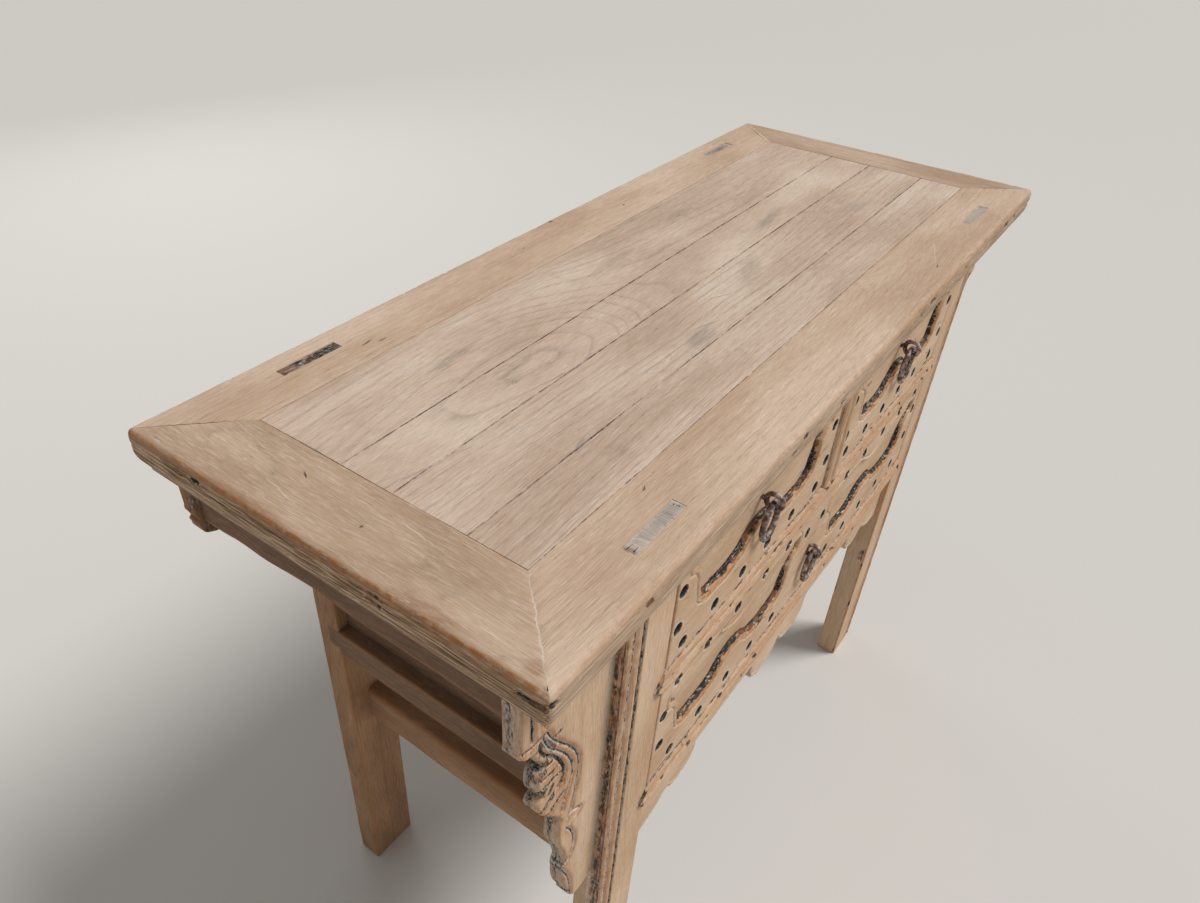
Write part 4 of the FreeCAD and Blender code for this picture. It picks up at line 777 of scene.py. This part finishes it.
def beside(line, offsets, joined=False):
    """Points beside a line, at each offset in mm to its left, where nothing else of the line is nearer."""
    if joined:
        line = np.concatenate([line, line[:1]])
    way = np.gradient(line, axis=0)
    left = np.stack([-way[:, 1], way[:, 0]], 1) / np.hypot(*way.T)[:, None].clip(1e-9)
    spots = [line]
    for offset in offsets:
        moved = line + left * offset
        spots.append(moved[from_line(moved, line) > abs(offset) - 0.15])
    return np.concatenate(spots)


def upright(points):
    """Points of x, z as places, for the noise."""
    return np.insert(points, 1, 0, axis=1)


def carved_board(name, outline, guides, carve, face, back, step, side_crust_and_shade):
    """A board whose face is pushed in by carve(points), which gives depth, worn, crust_and_shade and lime.

    guides are points that the net has to have, along the carved lines."""
    if len(guides):
        guides = guides[within(guides, outline)]
        guides = guides[from_rim(guides, outline) > 0.5]
        _, kept = np.unique(np.round(guides / 0.5), axis=0, return_index=True)
        guides = guides[np.sort(kept)]
    low, high = outline.min(0), outline.max(0)
    rows = np.arange(low[1], high[1], step * 0.87)
    columns = np.arange(low[0], high[0], step)
    net = np.array([(x + (step / 2 if number % 2 else 0), z)
                    for number, z in enumerate(rows) for x in columns])
    net = net[within(net, outline)]
    net = net[from_rim(net, outline) > step * 0.6]
    if len(guides):
        tree = nearest_of(guides)
        net = net[[tree.find((x, z, 0))[2] > step * 0.55 for x, z in net]]
    spots = np.concatenate([outline, guides, net])
    edges = [(at, (at + 1) % len(outline)) for at in range(len(outline))]
    flat, _, faces, *_ = geometry.delaunay_2d_cdt([Vector(spot) for spot in spots], edges, [], 1, 1e-6)
    flat = np.array([tuple(spot) for spot in flat])
    depth, *wear = carve(flat)
    obj = draw(name, [(x, face + sunk, z) for (x, z), sunk in zip(flat, depth)], faces)
    for kind, values in zip(WEAR, wear):
        mark(obj, kind, values)
    open_mesh(obj, "EDGE", "DESELECT")
    bpy.ops.mesh.select_non_manifold()
    for _ in range(2):
        extrude((0, (back - face) / 2, 0))
    close_mesh()
    at_back = np.zeros(len(obj.data.vertices), bool)
    obj.data.vertices.foreach_get("select", at_back)
    where = places(obj)
    where[at_back, 1] = back
    put(obj, where)
    open_mesh(obj, "EDGE", "DESELECT")
    bpy.ops.mesh.select_non_manifold()
    bpy.ops.mesh.edge_face_add()
    turn_outward()
    close_mesh()
    wall = np.arange(len(where)) >= len(flat)
    mark(obj, "crust_and_shade", np.where(at_back, 0.1, np.where(wall, side_crust_and_shade, marked(obj, "crust_and_shade"))))
    mark(obj, "bare", 0.6 * at_back)
    return obj


# The right half of a cartouche: x and z as shares of its half width and height, then the bow
CARTOUCHE = (
    (0, 0.24), (0.26, 0.06, -0.05), (0.60, 0, 0.04), (0.84, 0.12, 0.05), (0.88, 0.46), (0.90, 0.60, -0.02),
    (1, 0.74, -0.03), (1, 0.96, 0.02), (0.96, 1, 0.02), (0.34, 1, 0.03), (0, 0.78, -0.05),
)
# The dimples of a front's right half: x as a share of its half width, z as one of its height
UPPER_DIMPLES = ((0.16, 0.105), (0.49, 0.105), (0.84, 0.105), (0.925, 0.31), (0.925, 0.64))
LOWER_DIMPLES = (
    (0.06, 0.76), (0.23, 0.92), (0.39, 0.92), (0.565, 0.92), (0.74, 0.92), (0.90, 0.92), (0.22, 0.106),
    (0.38, 0.106), (0.54, 0.106), (0.71, 0.106), (0.88, 0.106), (0.955, 0.36), (0.955, 0.675),
)
# The dimples are a little longer down to the right, as the gouge went.
DIMPLE_STRETCH = 1.18
FRONT_FACE, FRONT_BACK = -203, -175
# A cartouche keeps these distances from its front's sides, foot and, on the wide one, middle
SIDE_MARGIN, FOOT_MARGIN, MIDDLE_MARGIN = 28, 44, 46
PLAY = 1.5


def drawer_front(drawer, left, right, foot, head, head_margin, shares, head_depth, step, heart):
    """A drawer front: sunk cartouches with a lip and an incised line round them, and round dimples.

    left and right give the x of its opening's sides at a height."""
    sides = [(left(foot) + PLAY, foot), (right(foot) - PLAY, foot), (right(head) - PLAY, head),
             (left(head) + PLAY, head)]
    outline = bowed([*sides, sides[0]], 2)[:-1]
    wide, tall = right(foot) - left(foot), head - foot
    centre = (left(foot - PLAY) + right(foot - PLAY)) / 2
    low, rise = foot + FOOT_MARGIN, tall - FOOT_MARGIN - head_margin
    half, centres = wide / 2 - SIDE_MARGIN, [centre]
    if drawer == "lower":
        half = (half - MIDDLE_MARGIN) / 2
        centres = [centre - MIDDLE_MARGIN - half, centre + MIDDLE_MARGIN + half]
    shapes = []
    for middle in centres:
        corners = [(middle + half * u, low + rise * v, *(rise * bow for bow in more))
                   for u, v, *more in CARTOUCHE]
        shapes.append(mirrored(bowed(corners, 1.3), middle))
    guides = [beside(shape, (1.2, 2.4, -2.6, -5.0, -5.8, -6.6), joined=True) for shape in shapes]
    dimples = [(centre + way * wide / 2 * u, foot + tall * v) for u, v in shares for way in (-1, 1)]
    for x, z in dimples:
        for radius in (1.5, 3.6, 5.6, 6.8, 7.4, 8.4):
            turns = np.arange(0, math.tau, 1.4 / radius)
            along, across = radius * np.cos(turns) * DIMPLE_STRETCH, radius * np.sin(turns)
            guides.append(np.stack([x + (along + across) / 2 ** 0.5, z + (across - along) / 2 ** 0.5], 1))

    def carve(points):
        flat = upright(points)
        wander, slow = lumps(flat, 7, 2), lumps(flat, 30, 3)
        depth = 0.25 * slow + 0.1 * wander
        worn, crust_and_shade, lime = np.zeros((3, len(points)))
        up = np.clip((points[:, 1] - low) / rise, 0, 1)
        near_foot = smooth(up, 0.62, 0.25)
        full = 8 + (head_depth - 8) * smooth(up, 0.2, 0.95)
        for shape in shapes:
            away = from_rim(points, shape)
            signed = np.where(within(points, shape), away, -away) + 0.35 * wander
            field = smooth(signed, 0.1, 2.4)
            depth = depth * (1 - field) + field * (full + 0.35 * slow + 0.15 * wander)
            crest = np.clip(1 - ((signed + 2.5) / 2.6) ** 2, 0, 1)
            depth += ridge(signed, -2.5, 2.9, 4) * (1 - field) * (1.1 - 1.5 * np.sqrt(crest))
            line = ridge(signed, -5.8, 0.75)
            depth += 1.5 * line * (1 + 0.4 * wander)
            # From the lip inwards: a pale line, a rubbed stripe, a black and cream crust, a black line
            band = smooth(signed, 0.8, 1.4) * smooth(signed, 3.9 + 0.7 * near_foot, 2.9 + 0.7 * near_foot)
            border = ridge(signed, 3.5 + 0.7 * near_foot, 0.8)
            depth += band * near_foot * (lumps(flat, 3.2, 5) - 0.4)
            crust_and_shade = np.max([crust_and_shade, band * (0.5 + 0.42 * near_foot), border * (0.6 + 0.8 * near_foot),
                             0.3 * line], 0)
            worn = np.maximum(worn, ridge(signed, -0.5, 1.9, 4) * (0.5 + 0.6 * near_foot))
            lime = np.max([lime, 0.75 * near_foot * ridge(signed, -3.1, 0.7), 0.8 * line], 0)
        for x, z in dimples:
            over_x, over_z = points[:, 0] - x, points[:, 1] - z
            along, across = (over_x - over_z) / DIMPLE_STRETCH / 2 ** 0.5, (over_x + over_z) / 2 ** 0.5
            ring = np.hypot(along, across) + 0.4 * wander
            depth += 5.4 * np.clip(1 - (ring / 7) ** 2, 0, 1) ** 0.45
            # Each dimple's crust is painted darker on its lower right side, as shade, and its lime paler on
            # the upper left inside, as painted highlight
            shaded = smooth(ring, 3.6, 6) * smooth(along, -2, 3)
            crust_and_shade = np.maximum(crust_and_shade, (1.05 + shaded) * smooth(ring, 7.3, 6.6))
            lime = np.max([lime, 0.55 * smooth(ring, 5.4, 4) * smooth(along, 3.5, 0),
                           0.8 * ridge(ring, 7.9, 0.7)], 0)
        # The ring has beaten a shallow dip where it hangs
        depth += 0.9 * ridge(points[:, 0], centre, 24) * ridge(points[:, 1], head - 95, 26)
        rim = from_rim(points, outline)
        split = smooth(lumps(flat, (60, 2.2, 2.2), 6), 0.44, 0.52)
        split *= smooth(lumps(flat, (50, 20, 20), 9), 0.05, 0.3)
        depth += 1.3 * rounding(rim, 2.2) + 0.7 * split
        worn = np.maximum(worn, 0.4 * smooth(rim, 2.6, 0.3))
        return depth, worn, np.maximum(crust_and_shade, 0.8 * split), lime

    board = carved_board(drawer + "_carved_front", outline, np.concatenate(guides), carve, FRONT_FACE,
                         FRONT_BACK, step, 0.1)
    dress(board, front_elm, "xzy", heart, drawer + "_drawer_front", drawer + "_drawer", 60)


left_leg, right_leg = (partial(leg_side, side, inward=LEG_WIDTH) for side in LEGS)
upper = (656.5, 802, 17.5, UPPER_DIMPLES, 7, 1.4)
drawer_front("left", left_leg, lambda z: -5, *upper, (-330, -120, 390))
drawer_front("right", lambda z: 27, right_leg, *upper, (420, -120, 1040))
drawer_front("lower", left_leg, right_leg, 471.5, 623.5, 24, LOWER_DIMPLES, 4, 1.55, (-60, -130, 250))


# Spandrels under the overhanging ends of the top

# Free edge: distance from the leg as a share of the width, height above the tip as a share of the drop, bow
SPANDREL_EDGE = (
    (1, 0.832, 0), (0.975, 0.808, -0.020), (0.900, 0.796, -0.020), (0.727, 0.693, 0),
    (0.800, 0.671, -0.030), (0.735, 0.597, -0.030), (0.810, 0.580, -0.020), (0.610, 0.480, -0.030),
    (0.530, 0.434, 0), (0.555, 0.400, -0.015), (0.504, 0.302, -0.030), (0.438, 0.223, 0),
    (0.463, 0.173, -0.020), (0.364, 0.041, -0.030), (0.314, 0.005, -0.020), (0.207, 0, -0.010),
    (0.083, 0.010, 0),
)
REAR_SPANDREL_EDGE = (
    (1, 0.760, 0), (0.990, 0.700, -0.010), (0.975, 0.665, 0), (0.985, 0.620, -0.015),
    (0.930, 0.555, -0.020), (0.800, 0.535, -0.010), (0.740, 0.585, 0), (0.450, 0.480, 0.020),
    (0.240, 0.200, 0.030), (0.100, 0, 0),
)
# Carved lines: mm out from the leg on the left spandrel and height, then width and depth of the cut,
# how crusted and how limed it is
SPANDREL_LINES = (
    (((88, 727), (80, 708), (69, 691), (54, 670), (44.5, 649), (41.5, 632), (43.5, 614), (46, 596.5),
      (49, 584), (51, 572)), 1.3, 2, 0.8, 0.8),
    (((93, 725), (84, 699), (70.5, 683), (58, 661.5), (51, 641), (51.5, 627), (56, 617), (60, 601),
      (64, 594), (65, 585)), 1.3, 2, 0.8, 0.8),
    (((97, 723), (95, 707), (88, 695), (77, 682), (67, 663), (63, 648), (65, 638),
      (71, 630)), 1.9, 3, 1, 0.5),
    (((51, 572), (56, 558), (53, 568), (32, 553), (42, 550), (53, 545), (56, 546)), 1.2, 1.8, 0.7, 0.8),
    (((56, 546), (46, 526), (42, 505), (45, 491.5), (51, 478), (60, 473), (52.5, 455), (46, 434), (43, 409),
      (44, 396)), 1.3, 2, 0.7, 0.9),
    (((77, 677), (87, 679), (99, 682), (109, 686)), 2, 3, 1, 0.3),
    (((67, 648), (80, 650), (94, 653), (101, 644)), 2, 3, 1, 0.3),
    (((66, 632), (75, 629), (88, 621), (97, 612)), 2, 3, 1, 0.3),
    (((72, 663), (88, 664), (100, 668)), 1.6, 2.2, 0.9, 0.4),
    (((64, 614), (74, 606), (80, 600)), 1.6, 2.2, 0.9, 0.4),
    (((118, 733), (108, 729), (99, 730), (90, 728)), 1.6, 2.2, 0.8, 0.6),
    (((107, 798), (107, 770), (107, 736)), 1.7, 3, 1, 0.8),
    (((110, 706), (100, 697), (91, 685)), 2, 2.6, 1, 0.3),
    (((96, 798), (95, 760), (92, 736)), 1, 1.2, 0.4, 0.8),
)
# Each row's edge, drop, face, rounding of the free edge, step of its line and of its net, and how crusted
# its cut sides are, which on the rear row is painted shade
SPANDRELS = {
    "front": (SPANDREL_EDGE, 417, -190, 3.6, 1.3, 1.25, 0.62),
    "rear": (REAR_SPANDREL_EDGE, 150, 183, 2.4, 2.4, 3.5, 0.4),
}
TONGUE = 4


def flowing(corners):
    """Two rounds of corner cutting make drawn corners into a flowing line."""
    for _ in range(2):
        early = corners[:-1] * 0.75 + corners[1:] * 0.25
        late = corners[:-1] * 0.25 + corners[1:] * 0.75
        corners = np.concatenate([corners[:1], np.stack([early, late], 1).reshape(-1, 2), corners[-1:]])
    return bowed(corners, 1.2)


def spandrel(row, side, heart):
    """A bracket between the top and a leg, with a tongue in the leg; the rear ones are plain."""
    edge, drop, face, round_edge, line_step, step, side_crust_and_shade = SPANDRELS[row]
    carved = row == "front"
    leg_edge, inward = LEGS[side]
    way, width = -inward, OVERHANGS[side]
    scale = width / OVERHANGS["left"]
    head = UNDERSIDE - 0.5
    corners = [(leg_edge + way * width, head)]
    for out, up, bow in edge:
        corners.append((leg_edge + way * width * out, UNDERSIDE - drop + drop * up, width * bow * way))
    in_leg = leg_edge - way * TONGUE
    corners += [(in_leg, corners[-1][1]), (in_leg, head), corners[0]]
    outline = bowed(corners, line_step)[:-1]
    lines = []
    for spots, *cutting in SPANDREL_LINES if carved else ():
        drawn = np.array([(leg_edge + way * out * scale, z) for out, z in spots], float)
        lines.append((flowing(drawn), *cutting))

    def carve(points):
        flat = upright(points)
        wander = lumps(flat, 6, 2)
        rim = from_rim(points, outline)
        out = way * (points[:, 0] - leg_edge) / scale
        free = smooth(out, 6, 14)
        depth = 0.3 * lumps(flat, 26, 3) + 0.15 * wander
        depth += free * (3.0 if carved else 1.6) * rounding(rim, round_edge)
        worn = 0.6 * free * smooth(rim, 4.5, 0.5)
        # The rear ones are given an even thin crust all over, which is painted shade, and no lime
        if not carved:
            return depth, worn, np.full(len(points), 0.36), np.zeros(len(points))
        # Lime lies along the free edge, along the seam beside the leg and beside the carved lines
        seam = out * scale - LEAN_ACROSS * (UNDERSIDE - points[:, 1])
        lime = np.maximum(0.5 * free * ridge(rim, 0.4, 0.7), ridge(seam, 3, 1.9))
        crust_and_shade = np.zeros(len(points))
        nearest = np.full(len(points), 1e9)
        for line, wide, deep, crust, limed in lines:
            away = from_line(points, line) + 0.25 * wander
            nearest = np.minimum(nearest, away)
            depth += deep * ridge(away, 0, wide)
            crust_and_shade = np.maximum(crust_and_shade, crust * smooth(away, wide * 1.35, wide * 0.6))
            lime = np.maximum(lime, limed * ridge(away, wide * 1.1, 0.7))
        soft = ridge(nearest, 0, 3.4)
        fan = smooth(out, 62, 72) * smooth(points[:, 1], 585, 600) * smooth(points[:, 1], 725, 712)
        depth += 1.1 * soft + 1.8 * fan * (1 - 0.5 * soft)
        worn = np.maximum(worn, 0.95 * ridge(nearest, 3, 2.4))
        crust_and_shade = np.maximum(crust_and_shade, 0.55 * fan * smooth(lumps(flat, 8, 5), 0, 0.35))
        return np.minimum(depth, 9), worn, crust_and_shade, lime

    guides = np.concatenate([np.zeros((0, 2)), *(beside(line, (1.2, -1.2)) for line, *_ in lines)])
    board = carved_board("%s_spandrel_%s" % (row, side), outline, guides, carve, face, face + 18, step,
                         side_crust_and_shade)
    dress(board, front_elm if carved else shaded_elm, "zxy", heart,
          "%s_%s_spandrel" % (row, side), angle=60)


spandrel("front", "left", (-120, -150, 560))
spandrel("front", "right", (130, -150, 600))


# The apron under the bottom rail: x as a share of its half width, depth as one of its drop, and bow

APRON_EDGE = (
    (0.11, 1, -0.10), (0.17, 0.98, -0.06), (0.22, 0.66, -0.08), (0.24, 0.56, 0.03), (0.61, 0.56, 0),
    (0.64, 0.86, -0.05), (0.76, 0.88, -0.06), (0.80, 0.80, 0.04), (0.93, 1, -0.06), (1, 0.98, -0.02),
)
APRON_HEAD, APRON_DROP = 440, 88
APRON_CENTRE, APRON_HALF = 11, 373.3
corners = [(APRON_CENTRE, APRON_HEAD - APRON_DROP * 0.74)]
for share, down, bow in APRON_EDGE:
    corners.append((APRON_CENTRE + APRON_HALF * share, APRON_HEAD - APRON_DROP * down, APRON_DROP * -bow))
corners += [(APRON_CENTRE + APRON_HALF, APRON_HEAD + 6), (APRON_CENTRE, APRON_HEAD + 6)]
apron_shape = mirrored(bowed(corners, 2.2), APRON_CENTRE)


def carve_apron(points):
    flat = upright(points)
    wander = lumps(flat, 8, 2)
    rim = from_rim(points, apron_shape) + 0.3 * wander
    low = smooth(points[:, 1], 438, 430)
    line = low * ridge(rim, 6.5, 0.9)
    depth = 0.3 * lumps(flat, 34, 3) + 0.1 * wander + low * 1.6 * rounding(rim, 2.6) + 0.9 * line
    lime = np.maximum(0.9 * low * ridge(rim, 0.8, 0.9), 0.7 * line)
    return depth, 0.55 * low * smooth(rim, 5, 2), 0.35 * line, lime


apron_guides = beside(apron_shape, (5.6, 6.5, 7.4), joined=True)
apron = carved_board("lobed_apron", apron_shape, apron_guides, carve_apron, -196, -182, 2.4, 0.15)
dress(apron, front_elm, "xzy", (-100, -120, 330), "front_apron", angle=60)


# Ends, back and the other plain bars

def box_of(node):
    return (np.array(corner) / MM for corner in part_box(node))


def plain_bar(name, node, material, order, radius, heart, unevenness=0.45, lean=0.0):
    """A bar in the box of its node, with worn edges; lean moves its section sideways as it rises."""
    low, high = box_of(node)
    along = AXES.index(order[0])
    u_axis, v_axis = [axis for axis in range(3) if axis != along]
    low_u, high_u = low[u_axis], high[u_axis]
    shift = lean * (high[v_axis] - low[v_axis])
    if lean > 0:
        high_u -= shift
    else:
        low_u -= shift
    section = []
    for u, v, worn in rounded_section((low_u, low[v_axis]), (high_u, high[v_axis]), radius):
        spot = list(low)
        spot[u_axis] = u + lean * (v - low[v_axis])
        spot[v_axis] = v
        section.append((*spot, worn, 0.2 * worn))
    travel = [0, 0, 0]
    travel[along] = high[along] - low[along]
    obj = bar(name, section, travel, 9)
    roughen(obj, unevenness, 45, radius)
    dress(obj, material, order, heart, node)
    return obj


# The ends' rails, panels and closing boards take the elm darkened as painted shade; the stretchers take the
# brown frame elm, which is partly painted shade
for side, (x, inward) in LEGS.items():
    plain_bar("side_rail_bar_" + side, side + "_side_rail", shaded_elm, "yzx", 2.0, (x - 40, 60, 420))
    plain_bar("stretcher_bar_" + side, side + "_stretcher", frame_elm, "yzx", 6.5, (x + 60, -40, 300), 0.9)
    plain_bar("side_board_" + side, side + "_side_panel", shaded_elm, "yzx", 1.0,
              (x + inward * 50, 20, 560), lean=LEAN_ACROSS * inward)
    board = plain_bar("end_board_" + side, side + "_closing_board", shaded_elm, "yzx", 1.6, (x, 80, 700))
    # Its lower edge has shallow scallops
    where = places(board)
    lift = np.interp(where[:, 1], (-160, -90, -20, 36, 70, 98, 133, 172), (6, 8, 6, 10, 8, 5, 7, 4))
    where[:, 2] += lift * smooth(where[:, 2], 785, 754)
    put(board, where)
for node in ("rear_mid_rail", "rear_bottom_rail"):
    plain_bar(node + "_bar", node, frame_elm, "xzy", 2.0, (60, 120, 400))
plain_bar("back_board", "back_panel", frame_elm, "xzy", 1.2, (-80, 160, 560))
spandrel("rear", "left", (-180, 150, 560))
spandrel("rear", "right", (200, 150, 600))

# Battens, runners and drawer boxes keep their solids and get their wood, darkened as painted shade
for node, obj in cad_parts.items():
    if "batten" in node or "runner" in node or node.endswith(("_side", "_bottom", "_back")):
        for held in obj.material_slots:
            held.material = inner_elm_x if node.endswith(("_bottom", "_back")) else inner_elm_y


# Iron staples and drop rings

RING_WIRE, EYE_WIRE, EYE_RADIUS = 3.25, 2.75, 8.5
EYE_Y = -209.5


def ring_shape(name, centre, wire, half_wide, half_tall, upright_axis):
    """A wire ring, drawn out of a torus: upright_axis is the side that it is wide along, x or y."""
    bpy.ops.object.select_all(action="DESELECT")
    bpy.ops.mesh.primitive_torus_add(major_radius=half_wide * MM, minor_radius=wire * MM, major_segments=64,
                                     minor_segments=16, location=(0, 0, 0))
    obj = bpy.context.object
    obj.name = obj.data.name = name
    x, y, through = places(obj).T
    turn = np.arctan2(y, x)
    cosine, sine = np.cos(turn), np.sin(turn)
    # The centre line is a flattened oval, and the wire keeps its thickness across it
    centre_line = np.stack([half_wide * np.sign(cosine) * np.abs(cosine) ** 0.86,
                            half_tall * np.sign(sine) * np.abs(sine) ** 0.94])
    normal = np.stack([cosine / half_wide, sine / half_tall])
    wide, tall = centre_line + normal / np.hypot(*normal) * (np.hypot(x, y) - half_wide)
    put(obj, np.stack((wide, through, tall) if upright_axis == "x" else (through, wide, tall), 1) + centre)
    open_mesh(obj)
    turn_outward()
    close_mesh()
    return obj


for body, x, eye_z in (("left", -177.21, 749), ("right", 199.21, 749), ("lower", 11, 545)):
    node = body + "_drawer_"
    low, high = box_of(node + "ring")
    half_wide, _, half_tall = (high - low) / 2 - RING_WIRE
    ring = ring_shape(body + "_drop_ring", (low + high) / 2, RING_WIRE, half_wide, half_tall, "x")
    where = places(ring)
    # Where the ring hangs in its eye, and the eye holds it, the iron is worn smooth
    held = smooth(where[:, 2], high[2] - 12, high[2])
    swell(ring, (0.32 * lumps(where, 5, 2) + 0.15 * lumps(where, 2.4, 3)) * (1 - held))
    dress(ring, iron, node=node + "ring", body=body + "_ring", angle=60)

    eye = ring_shape(body + "_staple_eye", (x, EYE_Y, eye_z), EYE_WIRE, EYE_RADIUS, EYE_RADIUS, "y")
    turns = np.linspace(0, math.tau, 13)[:-1]
    shank = bar("shank", [(x + 3 * math.cos(turn), -202.5, eye_z + 3 * math.sin(turn)) for turn in turns],
                (0, 30, 0), 4)
    turns = np.linspace(0, math.tau, 11)[:-1]
    clinch = bar("clinch", [(x + 2 * math.cos(turn), -173.2 + 2 * math.sin(turn), eye_z - 9)
                            for turn in turns], (0, 0, 18), 3)
    only(eye)
    shank.select_set(True)
    clinch.select_set(True)
    bpy.ops.object.join()
    where = places(eye)
    held = smooth(np.hypot(where[:, 1] - EYE_Y, where[:, 2] - eye_z), 6.5, 5.5) * (where[:, 1] < -200)
    swell(eye, (0.25 * lumps(where, 4, 5) + 0.1 * lumps(where, 2, 3)) * (1 - held))
    dress(eye, iron, node=node + "staple", body=body + "_drawer", angle=60)


# Floor, light and camera

bpy.ops.object.select_all(action="DESELECT")
bpy.ops.mesh.primitive_plane_add(size=40, location=(0, 0, -0.0004))
floor = bpy.context.object
floor.name = "floor"
plaster = bpy.data.materials.new("pale_floor")
node = blank(plaster)
node("OutputMaterial", node("BsdfPrincipled", Base_Color="#d3cfc9", Roughness=0.85))
floor.data.materials.append(plaster)

world = bpy.data.worlds.new("soft_room")
bpy.context.scene.world = world
node = blank(world)
node("OutputWorld", node("Background", Color="#ffffff", Strength=0.32))


def lamp(name, kind, place, target, **settings):
    light = bpy.data.lights.new(name, kind)
    for key, value in settings.items():
        setattr(light, key, value)
    obj = bpy.data.objects.new(name, light)
    obj.location = place
    obj.rotation_euler = (Vector(target) - Vector(place)).to_track_quat("-Z", "Y").to_euler()
    bpy.context.scene.collection.objects.link(obj)


lamp("daylight", "SUN", (0, 0, 0), (-1.25, 1.5, -2.6), energy=2.45, angle=math.radians(24))
lamp("back_light", "AREA", (1.2, 3.2, 1.8), (0, 0, 0.5), energy=12, shape="DISK", size=2)

# The camera stands to the left of the table, above it, and looks down to the right.
EYE = Vector((-0.826, -0.4231, 1.2876))
YAW, PITCH, ROLL = 0.9486, 0.6935, 0.0349
# Focal length and shifts in pixels of a picture this wide
FOCAL, SHIFT_X, SHIFT_Y, PHOTO_WIDTH = 875.9, 37.07, 45.15, 1200
SENSOR = 36
ahead = Vector((math.sin(YAW) * math.cos(PITCH), math.cos(YAW) * math.cos(PITCH), -math.sin(PITCH)))
level_right = Vector((math.cos(YAW), -math.sin(YAW), 0))
level_up = level_right.cross(ahead)
right = math.cos(ROLL) * level_right + math.sin(ROLL) * level_up
up = -math.sin(ROLL) * level_right + math.cos(ROLL) * level_up
lens = bpy.data.cameras.new("camera")
lens.sensor_width = SENSOR
lens.lens = SENSOR * FOCAL / PHOTO_WIDTH
lens.shift_x = SHIFT_X / PHOTO_WIDTH
lens.shift_y = SHIFT_Y / PHOTO_WIDTH
lens.clip_start = 0.02
camera = bpy.data.objects.new("camera", lens)
camera.matrix_world = Matrix((
    (right.x, up.x, -ahead.x, EYE.x),
    (right.y, up.y, -ahead.y, EYE.y),
    (right.z, up.z, -ahead.z, EYE.z),
    (0, 0, 0, 1),
))
bpy.context.scene.collection.objects.link(camera)
bpy.context.scene.camera = camera
bpy.context.scene.view_settings.view_transform = "Standard"
